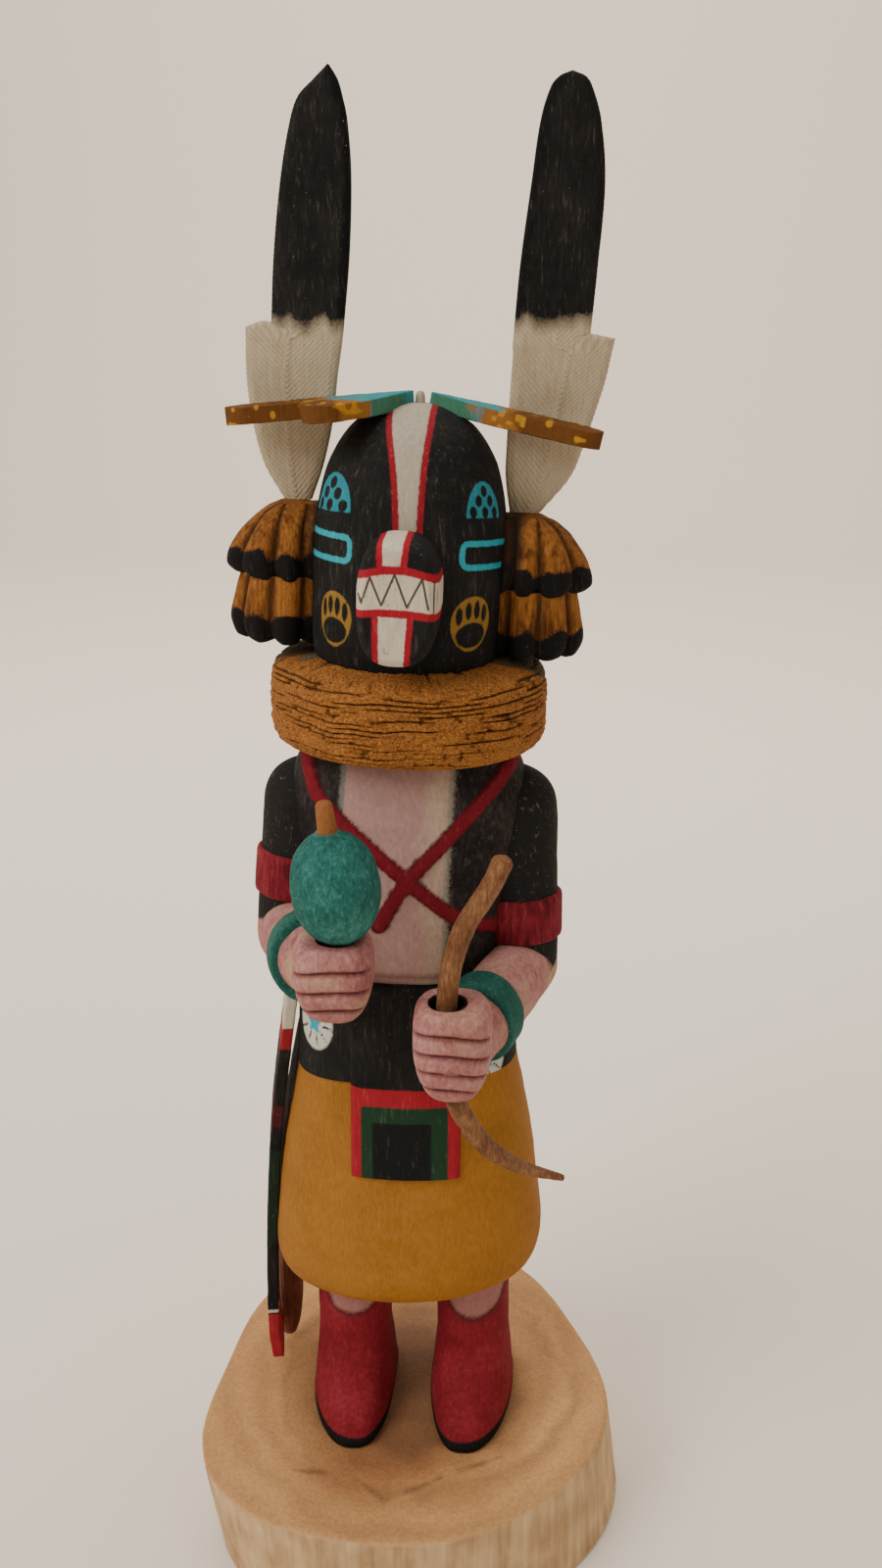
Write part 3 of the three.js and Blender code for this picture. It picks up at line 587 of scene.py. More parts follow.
def limb_grid(
    start: np.ndarray, end: np.ndarray, radii: tuple, flat: float, runs: np.ndarray, count: int
) -> np.ndarray:
    """Rings of a straight limb with round ends.

    Args:
        start: Centre of the first end in mm.
        end: Centre of the second end.
        radii: Radius at each end.
        flat: Height of the section as a share of its width.
        runs: Places along the limb, from -1 at the first tip over 0 and 1 to 2 at the second tip.
        count: Points round a ring.

    Returns:
        Grid of points in mm.
    """
    axis = end - start
    length = np.linalg.norm(axis)
    axis = axis / length
    across = np.array([1.0, 0, 0]) - axis * axis[0]
    across /= np.linalg.norm(across)
    upright = np.cross(axis, across)
    before, after = np.clip(-runs, 0, 0.995), np.clip(runs - 1, 0, 0.995)
    middle = np.clip(runs, 0, 1)
    radius = radii[0] + (radii[1] - radii[0]) * middle
    run = middle * length - np.sin(before * math.pi / 2) * radii[0] + np.sin(after * math.pi / 2) * radii[1]
    radius = radius * np.cos(np.maximum(before, after) * math.pi / 2)
    turn = turns(count)
    section = across * np.cos(turn)[:, None] + flat * upright * np.sin(turn)[:, None]
    return start + axis * run[:, None, None] + section * radius[:, None, None]


@dataclass
class Arm:
    """One bent arm with its armband, wristband and fist."""

    side: Side
    shoulder: tuple
    band: float
    elbow: tuple
    wrist: tuple
    fist: tuple
    fist_bottom: float
    fist_top: float
    fingers: int
    sleeve: float
    upper_radii: tuple = (8.7, 6.9)
    lower_radii: tuple = (6.8, 6.8)
    hand_radii: tuple = (6.8, 6.1)
    lower_flat: float = 1.12
    armband: float = 9.4
    wristband: float = 6.5

    def place(self, joint: tuple) -> np.ndarray:
        """Joint in the frame's mm."""
        return np.array([self.side.value * joint[0], joint[1], FLOOR + joint[2]])

    def shells(self) -> list:
        """Upper arm, forearm, hand, bands and fist."""
        shoulder, elbow = self.place(self.shoulder), self.place(self.elbow)
        wrist, fist = self.place(self.wrist), self.place(self.fist)
        runs = np.linspace(-1, 2, 70)
        upper = Shell(limb_grid(shoulder, elbow, self.upper_radii, 1, runs, 72), Coat.SKIN)
        lower = Shell(limb_grid(elbow, wrist, self.lower_radii, self.lower_flat, runs, 72), Coat.SKIN)
        hand = Shell(limb_grid(wrist, fist, self.hand_radii, 1, runs, 64), Coat.SKIN)
        for shell in (upper, lower):
            edge = FLOOR + self.sleeve + 1.2 * speckle(shell.grid, 4.0, 5)
            shell.marks["sleeve"] = edge - shell.grid[..., 2]
        lower.marks["sleeve"] = np.maximum(lower.marks["sleeve"], 9 * (lower.grid[..., 1] < -9))
        for shell in (upper, lower, hand):
            shell.marks["cream"] = 1.0 - 3.2 * speckle(shell.grid, 7.0, 31)
        share = (FLOOR + self.band - shoulder[2]) / (elbow[2] - shoulder[2])
        armband = self.band_shell(shoulder, elbow, self.upper_radii, 1, share, self.armband, Coat.ARMBAND)
        wristband = self.band_shell(
            elbow, wrist, self.lower_radii, self.lower_flat, 1.0, self.wristband, Coat.WRISTBAND)
        made = [upper, lower, hand, armband, wristband, self.fist_shell(fist)]
        for shell in made[:3]:
            shell.raise_by(0.12 * speckle(shell.grid, 3.5, 8) - 0.1)
        return made

    def band_shell(
        self, start: np.ndarray, end: np.ndarray, radii: tuple, flat: float,
        share: float, width: float, coat: Coat,
    ) -> Shell:
        """Raised band across a limb, with softened edges."""
        length = np.linalg.norm(end - start)
        shape = np.array([[-0.5, -0.8], [-0.5, 0.3], [-0.46, 0.72], [-0.38, 0.9], [0, 0.93],
                          [0.38, 0.9], [0.46, 0.72], [0.5, 0.3], [0.5, -0.8]])
        rows = []
        for k in range(len(shape) - 1):
            rows += [shape[k] + (shape[k + 1] - shape[k]) * t for t in np.linspace(0, 1, 5, endpoint=False)]
        rows = np.array([*rows, shape[-1]])
        places = share + rows[:, 0] * width / length
        rings = []
        for place, rise in zip(places, rows[:, 1]):
            radius = radii[0] + (radii[1] - radii[0]) * min(max(place, 0), 1) + rise
            middle = start + (end - start) * place
            ring = limb_grid(middle, middle + (end - start), (radius, radius), flat, np.array([0.0]), 72)
            rings.append(ring[0])
        shell = Shell(np.stack(rings), coat)
        return shell.raise_by(0.07 * speckle(shell.grid, (1.5, 1.5, 6.0), 3) - 0.05)

    def fist_shell(self, centre: np.ndarray) -> Shell:
        """Closed hand with grooves between its fingers and a hollow on top, with painted shade in both."""
        shape = [[0, 0.4], [0.06, 0.6], [0.2, 0.82], [0.45, 0.98], [0.7, 1], [0.92, 0.95], [1, 0.8]]
        up = np.linspace(0, 1, 76)
        full = rows_at(shape, up)[:, 1:2]
        turn = turns(96)
        side, depth = bent(np.cos(turn), 2 / 3), bent(np.sin(turn), 2 / 3)
        height = self.fist_top - self.fist_bottom
        wave = up[:, None] * (self.fingers + 1) + 0.25 * side**2 + 0.12 * side * self.side.value
        groove = (1 - np.abs(np.sin(math.pi * wave))) ** 2.2
        front = smooth(-depth, 0.2, 0.75) * smooth(up[:, None], 0.1, 0.2) * smooth(up[:, None], 0.93, 0.85)
        cut = 1.2 * groove * front
        x = centre[0] + 7.2 * full * side * (1 - 0.02 * groove * front)
        y = centre[1] + (7.0 * full - cut) * depth
        z = FLOOR + self.fist_bottom + height * up[:, None] + 0 * x
        grid = np.stack([x, y, z], -1)
        left = self.side is Side.LEFT
        hole = np.array([8.75, centre[1]]) if left else centre[:2] + [0.7, 0]
        radius, drop = (3.25, 7.0) if left else (3.4, 1.0)
        ring = np.stack([hole[0] + radius * np.cos(turn), hole[1] + radius * np.sin(turn)], -1)
        extra = []
        for share, fall in ((0.35, 0.0), (0.8, 0.0), (1.0, 0.25), (0.96, drop / 3), (0.8, drop)):
            flat = hole + (ring - hole) * share if fall else grid[-1, :, :2] * (1 - share) + ring * share
            extra.append(np.concatenate([flat, np.full((96, 1), FLOOR + self.fist_top - fall)], 1))
        shell = Shell(np.concatenate([grid, np.stack(extra)]), Coat.SKIN)
        for key in ("knuckle", "bore"):
            shell.marks[key] = np.full(shell.grid.shape[:2], FAR)
        # Painted shade: dark maroon in the grooves between the fingers, on the front of the fist.
        shell.marks["knuckle"][:76] = 0.5 - cut
        # Painted shade: near-black over the inner wall and floor of the hollow on top.
        shell.marks["bore"][-3:] = -1.0
        shell.marks["bore"][-4] = 0.3
        shell.marks["cream"] = 2.0 - 3.2 * speckle(shell.grid, 6.0, 32)
        return shell


@dataclass
class Figure:
    """The doll's own carving: boots, kilt, belt, apron, torso, arms, ruff and mask."""

    boot_spread: float = 13.5
    boot_shift: float = -0.6
    eyes: dict = field(default_factory=lambda: {
        Side.RIGHT: (17.3, 220.0, 8.0, 2.7, -0.03), Side.LEFT: (17.5, 219.9, 7.4, 2.7, -0.06)})
    arches: dict = field(default_factory=lambda: {
        Side.RIGHT: (16.6, 226.2, 6.2, 6.7), Side.LEFT: (16.5, 226.5, 4.9, 6.3)})
    paws: dict = field(default_factory=lambda: {
        Side.RIGHT: (13.0, 207.2, 4.2, 5.1), Side.LEFT: (13.6, 207.7, 4.7, 5.1)})
    conchos: tuple = ((-19.8, 123.7), (18.5, 117.0), (-44, 121), (44, 121))
    apron_box: tuple = (-12, 10.5, 66.6, 109.8)
    straps: tuple = (
        ((-21.9, 184.0), (-17.8, 173.2)), ((-17.8, 173.2), (-0.2, 157.4)), ((-0.2, 157.4), (8.4, 150.0)),
        ((8.4, 150.0), (17.5, 145.0)), ((22.8, 182.0), (-0.2, 157.4)), ((-0.2, 157.4), (-5.6, 147.6)),
    )
    arms: tuple = (
        Arm(Side.RIGHT, shoulder=(21.4, 0, 143), band=127.7, elbow=(25.4, -3, 115), wrist=(18.4, -24.5, 120),
            fist=(11.6, -38, 122.4), fist_bottom=114.6, fist_top=130.2, fingers=3, sleeve=119.6),
        Arm(Side.LEFT, shoulder=(20.2, 0, 142), band=119.8, elbow=(22.8, -3.5, 109), wrist=(14.8, -24, 107.6),
            fist=(9.8, -38, 107.5), fist_bottom=99, fist_top=118, fingers=4, sleeve=110.5),
    )

    def finishes(self) -> list:
        """Materials in the order of the shells' finish numbers."""
        coats = (
            PaintedWood("ochre paint on carved kilt", "#986528", "#7e501a", "#a87430", (
                Paint("stain", "#7a5119", 6.0, 0.6, 0.45),
            ), fibre=0.25, relief=0.03, contrast=0.5, fleck="#cf9a35", mottle=0.6,
                grain=(1.0, 1.0, 0.3)),
            PaintedWood("black belt paint", BLACK, BLACK_DEEP, BLACK_WORN, (
                Paint("concho", "#cfcac0", 0.5, 0.3),
                Paint("ray", "#2a2a2c", 0.2, 0.15),
                Paint("star", "#2f9fb5", 0.4, 0.3),
            ), fibre=0.3),
            PaintedWood("apron paint", BLACK, BLACK_DEEP, BLACK_WORN, (
                Paint("red_frame", "#a01f2b", 0.3, 0.3),
                Paint("green_frame", "#1e3a26", 0.4, 0.4),
                Paint("black_field", "#161717", 0.4, 0.4),
            ), fibre=0.3),
            PaintedWood("torso paint", "#292423", "#181515", "#3b3431", (
                Paint("halo", "#84877c", 0.7, 0.6, 0.75),
                Paint("chest", "#b38d86", 0.5, 0.4),
                Paint("chest_light", "#c0aa92", 3.4, 1.8, 0.85),
                Paint("chest_seam", "#7d4a4a", 1.2, 0.5, 0.7),
                Paint("strap", "#7a1824", 0.4, 0.35),
                Paint("strap_edge", "#3f0f15", 0.5, 0.3, 0.75),
            ), fibre=0.35, relief=0.07, contrast=1.0, grain=(1.0, 1.0, 0.45)),
            PaintedWood("pink skin paint", "#a8726e", "#8a5052", "#b98f85", (
                Paint("cream", "#c19e7e", 3.0, 1.4, 0.75),
                Paint("sleeve", "#211f1e", 0.7, 0.4),
                # Painted shade in the finger grooves
                Paint("knuckle", "#74393c", 0.9, 0.3, 0.85),
                # Painted shade inside the hollow on top of the fist
                Paint("bore", "#1c1310", 0.4, 0.2),
            ), fibre=0.4, relief=0.08, contrast=0.8, scuff=0.3, grain=(1.0, 1.0, 0.6)),
            PaintedWood("red armband paint", "#711924", "#480e14", "#882c34", fibre=0.4, relief=0.08,
                        contrast=1.0),
            PaintedWood("teal wristband paint", "#245a50", "#173f37", "#3c7466", fibre=0.3, relief=0.06,
                        grain=(1.0, 1.0, 1.0)),
            PaintedWood("red boot paint", "#7c1c26", "#5c1016", "#8c2c36", (
                Paint("leg_edge", "#5a2427", 0.8, 0.5, 0.8),
                Paint("leg", "#a2716b", 0.8, 0.5),
                Paint("sole", "#141212", 0.5, 0.3),
            ), fibre=0.4, relief=0.02, contrast=0.6, fleck="#a8767a", flecks=0.0,
                scuff=0.06, grain=(1.0, 1.0, 0.5)),
            PaintedWood("ochre paint on cut ruff", "#a56834", "#70431d", "#c4873f", (
                # Painted shade in the ruff's cuts and pits
                Paint("ruff_cut", "#3a1f0a", 0.45, 0.2, 0.85),
                Paint("ruff_top", "#75624a", 0.8, 0.5),
                Paint("ruff_pale", "#bfb29c", 0.8, 0.6, 0.7),
            ), fibre=0.22, relief=0.45, contrast=1.4, fleck="#dd9d33", flecks=0.045, scuff=0.3, mottle=0.2,
                grain=(1.0, 1.0, 1.6)),
            PaintedWood("black mask paint", BLACK, BLACK_DEEP, BLACK_WORN, (
                Paint("stripe_edge", "#921c28", 0.25, 0.3),
                Paint("stripe", "#b5aa98", 0.25, 0.3),
                Paint("eye", TURQUOISE, 0.2, 0.3),
                Paint("arch", "#298797", 0.2, 0.25),
                Paint("paw", "#94702f", 0.2, 0.25),
            ), fibre=0.3, relief=0.08, contrast=0.6, scuff=0.13),
        )
        return [coat.material() for coat in coats]

    def build(self) -> bpy.types.Object:
        """Make the carving as four meshes, so that none grows past the export's size."""
        finishes = self.finishes()
        limbs = [shell for arm in self.arms for shell in arm.shells()]
        parts = {
            "carved_kilt": [self.kilt(), self.belt(), self.apron(), *[self.boot(side) for side in Side]],
            "carved_torso": [self.torso(), *limbs],
            "carved_ruff": [self.ruff()],
            "carved_mask": [self.head(), self.boss()],
        }
        for name, shells in parts.items():
            made = finished(name, shells, finishes, "figure")
        return made

    def kilt(self) -> Shell:
        """Flared kilt with a slightly uneven surface."""
        shell = Shell(kilt_tilt(KILT.rings(90, turns(150))), Coat.KILT)
        shell.marks["stain"] = 5.5 + 6 * speckle(shell.grid, 14.0, 3)
        return shell.raise_by(0.22 * speckle(shell.grid, 9.0, 4) + 0.08 * speckle(shell.grid, 2.2, 5) - 0.2)

    def belt(self) -> Shell:
        """Belt with its lower edge dipping at the sides and round discs on it."""
        grid = BELT.rings(36, turns(240))
        up = (grid[..., 2] - FLOOR - BELT.bottom) / (BELT.top - BELT.bottom)
        side = (grid[..., 0] - BELT.x) / (BELT.width / 2)
        grid = kilt_tilt(grid, 1 - up)
        grid[..., 2] -= 3.5 * (1 - up) * side**2
        shell = Shell(grid, Coat.BELT)
        x, y, z = np.moveaxis(grid, -1, 0)
        arc = np.arctan2(x - BELT.x, -y) * 20
        discs = []
        for middle, height in self.conchos:
            u, w = arc - middle, z - height
            away = np.hypot(u, w)
            spoke = np.abs(np.sin(5 * np.arctan2(w, u * 1.25) + 0.5)) * away / 5 - 0.24
            ray = np.maximum(spoke, np.maximum(2.3 - away, away - 5.2))
            star = np.hypot(u, w / 1.6) - 2.1 + np.abs(np.sin(3 * np.arctan2(w, u)))
            discs.append((oval_mark(u, w, 4.7, 6.2), ray, star))
        for key, marks in zip(("concho", "ray", "star"), zip(*discs)):
            shell.marks[key] = union(marks)
        return shell.raise_by(0.08 * speckle(grid, 3.0, 6) - 0.05)

    def apron(self) -> Shell:
        """Low panel over the belt and kilt, with a painted frame."""
        right, left, low, high = self.apron_box
        x = np.linspace(right, left, 64)[None, :]
        seam = BELT.bottom
        up = np.concatenate([np.linspace(low, seam, 46), np.linspace(seam + 0.4, high, 44)])[:, None]
        x, up = np.broadcast_arrays(x, up)
        kilt = np.where(up < seam, KILT.front_at(x, up), BELT.front_at(x, up) + 0.4)
        edge = np.minimum(np.minimum(x - right, left - x), up - low)
        front = kilt - 1.0 * np.clip(edge / 0.5, 0, 1) ** 0.5
        face = np.stack([x, front - 0.05 * speckle(np.stack([x, front, up], -1), 2.5, 7), FLOOR + up], -1)
        rear = np.stack([x, kilt + 2.0, FLOOR + up], -1)
        grid = np.concatenate([face, rear[:, ::-1]], 1)
        shell = Shell(grid, Coat.APRON)
        xx, zz = grid[..., 0], grid[..., 2]
        shell.marks["red_frame"] = zz - 112.0 + 0.3 * speckle(grid, 3.0, 8)
        shell.marks["green_frame"] = box_mark(xx + 0.9, zz - 98.2, 8.9, 10.0, 1.0)
        shell.marks["black_field"] = box_mark(xx + 1.4, zz - 94.7, 6.0, 10.0, 0.4)
        return shell

    def torso(self) -> Shell:
        """Chest and back with the painted panel and the cut straps."""
        shell = Shell(TORSO.rings(100, turns(230)), Coat.TORSO)
        x, y, z = np.moveaxis(shell.grid, -1, 0)
        ahead = fence(y < 0)
        right = np.interp(z, [136, 157, 170, 178, 184], [-13.6, -13.0, -12.4, -11.8, -11.4])
        left = np.interp(z, [136, 157, 178, 184], [6.4, 6.9, 8.0, 8.6])
        panel = np.maximum(np.maximum(right - x, x - left), ahead)
        shell.marks["halo"] = np.maximum(panel - 1.0, 138 - z)
        shell.marks["chest"] = panel
        edge = left - x - 3.4 + 2.4 * speckle(shell.grid, 5.0, 2)
        shell.marks["chest_light"] = np.maximum(edge, panel)
        shell.marks["chest_seam"] = np.maximum(np.abs(z - 136.6) - 0.6, panel)
        strap = np.maximum(union(line_mark(x, z, start, end, 1.5) for start, end in self.straps), ahead)
        shell.marks["strap"] = strap
        shell.marks["strap_edge"] = np.abs(strap + 0.1) - 0.25 + 0.4 * speckle(shell.grid, 0.9, 3)
        cut = smooth(strap, 0.15, -0.35)
        ragged = 0.25 * speckle(shell.grid, (0.8, 0.8, 0.8), 9)
        return shell.raise_by(cut * (0.6 + ragged) + 0.1 * speckle(shell.grid, 4.0, 10) - 0.1)

    def ruff(self) -> Shell:
        """Ruff with rough level cuts, cracks and pits round its side."""
        shell = Shell(RUFF.rings(90, turns(540)), Coat.RUFF)
        grid = shell.grid
        share = (grid[..., 2] - FLOOR - RUFF.bottom) / (RUFF.top - RUFF.bottom)
        grid[..., 2] -= RUFF_SLOPE * (grid[..., 0] - RUFF.x)
        x, y, z = np.moveaxis(grid, -1, 0)
        around = np.arctan2(y, x) * 26
        flat = np.stack([around, 0 * around, z], -1)
        level = z + 0.7 * speckle(flat, (16, 9, 9), 3) + 0.35 * speckle(flat, (5, 9, 9), 4)
        cuts = np.zeros_like(z)
        for k, height in enumerate(np.arange(181.8, 198.2, 0.92)):
            run = smooth(speckle(flat, (10, 9, 40), 20 + k), -0.25, 0.3)
            cuts = np.maximum(cuts, run * smooth(np.abs(level - height), 0.24, 0.05))
        upright = smooth(np.abs(speckle(flat, (3.5, 9, 30), 50)), 0.05, 0.0)
        upright = upright * smooth(speckle(flat, (2, 9, 4), 51), 0.1, 0.6)
        pits = smooth(speckle(flat, (1.1, 9, 0.8), 60), 0.35, 0.85)
        lumps = speckle(flat, (2.6, 9, 1.1), 61)
        side = smooth(share, 0.02, 0.12)
        grains = speckle(flat, (0.8, 9, 0.6), 62)
        depth = side * (0.5 * cuts + 0.3 * upright + 0.3 * pits + 0.2 * grains) + 0.14 * side * lumps
        # Painted shade: dark brown in the deeper level cuts and pits round the side.
        shell.marks["ruff_cut"] = 0.6 - 1.05 * side * np.maximum(cuts, 0.7 * pits)
        # Greyer brown over the ruff's top, reaching further down towards the back, with pale patches there.
        behind = smooth(y, -17, 2) * 9
        shell.marks["ruff_top"] = 30 * (0.955 - share) + 5 - behind + 2.5 * speckle(grid, 5.0, 9)
        patches = 1.2 - 3 * speckle(grid, (14, 14, 9), 8)
        shell.marks["ruff_pale"] = np.maximum(30 * (0.97 - share) + 6 - behind, patches)
        return shell.raise_by(-depth - 0.05)

    def head(self) -> Shell:
        """Case mask with its dome and the marks painted on its face."""
        front = np.linspace(-math.pi, 0, 330, endpoint=False)
        rear = np.linspace(0, math.pi, 80, endpoint=False)
        shell = Shell(HEAD.rings(140, np.concatenate([front, rear])), Coat.MASK)
        x, y, z = np.moveaxis(shell.grid, -1, 0)
        arc = np.arctan2(x - HEAD.x, -y) * 18.6
        ahead = fence(np.abs(arc) < 40)
        along = x - HEAD.x
        middle = np.interp(z, [224, 232, 241, 246], [0.7, 0.35, -0.3, -0.6])
        half = np.interp(z, [222, 226, 232, 237, 241.5, 246], [1.5, 1.55, 1.85, 2.4, 3.1, 3.5])
        stripe = np.maximum(np.maximum(np.abs(along - middle) - half, 214 - z), fence(y < 3))
        shell.marks["stripe"] = stripe
        shell.marks["stripe_edge"] = stripe - 1.15
        eye, arch, dots, paw = [], [], [], []
        for side, (u, w, wide, high, slope) in self.eyes.items():
            du = side.value * arc - u
            eye.append(np.abs(box_mark(du, z - w - slope * du, wide - 0.6, high - 0.6, high - 1.4)) - 0.54)
        for side, (u, w, wide, high) in self.arches.items():
            du = side.value * arc - u
            level = w - 0.06 * du
            arch.append(np.maximum(oval_mark(du, z - level, wide, high), level - z))
            for row, columns in ((0.74, (0.0,)), (0.47, (-0.34, 0.34)), (0.16, (-0.66, 0.0, 0.62))):
                dots += [oval_mark(du - column * wide, z - level - row * high, 0.19 * wide, 0.16 * high)
                         for column in columns]
        for side, (u, w, wide, high) in self.paws.items():
            paw.append(self.paw((side.value * arc - u) / wide, (z - w) / high) * 4.4)
        shell.marks["eye"] = np.maximum(union(eye), ahead)
        shell.marks["arch"] = np.maximum(np.maximum(union(arch), -union(dots)), ahead)
        shell.marks["paw"] = np.maximum(union(paw), ahead)
        grain = 0.05 * speckle(shell.grid, (0.7, 0.7, 9), 11)
        shell.raise_by(0.12 * speckle(shell.grid, 6.0, 12) + grain - 0.12)
        shell.grid = leaning(shell.grid)
        return shell

    def paw(self, u: np.ndarray, w: np.ndarray) -> np.ndarray:
        """Paw print: a ring of paint round a dark palm, with dark slots between the fingers.

        Args:
            u: Place across the print, 1 at its edge.
            w: Place up the print, 1 at its top.

        Returns:
            Distance from the painted ring, as a share of its half width.
        """
        outline = oval_mark(u, w, 0.98 + 0.08 * w, 1.0)
        palm = oval_mark(u, w + 0.4, 0.74, 0.46)
        fingers = (-1.5, -0.5, 0.5, 1.5)
        slots = union(oval_mark(u - 0.42 * k, w - 0.52 + 0.08 * k * k, 0.15, 0.33) for k in fingers)
        return np.maximum(outline, -np.minimum(palm, slots))

    def boss(self) -> Shell:
        """Small pale boss on the crown, between the crown feathers."""
        turn = turns(40)
        rows = [(215, 0.95), (220, 0.92), (221, 0.86), (221.6, 0.68), (221.8, 0.4)]
        x, y = CROWN_CENTRE
        rings = [
            np.stack([x + r * np.cos(turn), y + r * np.sin(turn), FLOOR + z + 0 * turn], -1) for z, r in rows
        ]
        shell = Shell(np.stack(rings), Coat.MASK)
        shell.marks["stripe"] = np.full((5, 40), -2.0)
        return shell

    def boot(self, side: Side) -> Shell:
        """Boot with a black sole edge and the bare leg in the notch of its shaft."""
        middle = self.boot_shift + side.value * self.boot_spread
        body = Body(BOOT_ROWS, bottom=GAP, top=17, x=middle, width=18.8, front=24, back=13.5, power=2.5)
        grid = body.rings(60, turns(110))
        ahead = np.clip(-grid[..., 1] / body.front, 0, 1) ** 2
        grid[..., 0] -= ahead * (side.value * 1.5 + 0.1 * (grid[..., 0] - body.x))
        welt = smooth(grid[..., 2], FLOOR + 2.6, FLOOR + 2.0)
        shell = Shell(grid, Coat.BOOT).raise_by(0.35 * welt - 0.2)
        x, y, z = np.moveaxis(shell.grid, -1, 0)
        shell.marks["sole"] = z - FLOOR - 1.9 - 0.9 * smooth(y, -4, -18) - 0.4 * speckle(shell.grid, 5.0, 4)
        leg = oval_mark(x - body.x - 0.6, z - FLOOR - 33, 6.4, 8.2)
        leg = np.maximum(leg, fence(y < 0)) + 0.4 * speckle(shell.grid, 3.0, 6)
        shell.marks["leg"] = leg
        shell.marks["leg_edge"] = leg - 1.0
        return shell.raise_by(0.14 * speckle(shell.grid, 5.0, 13) - 0.1)


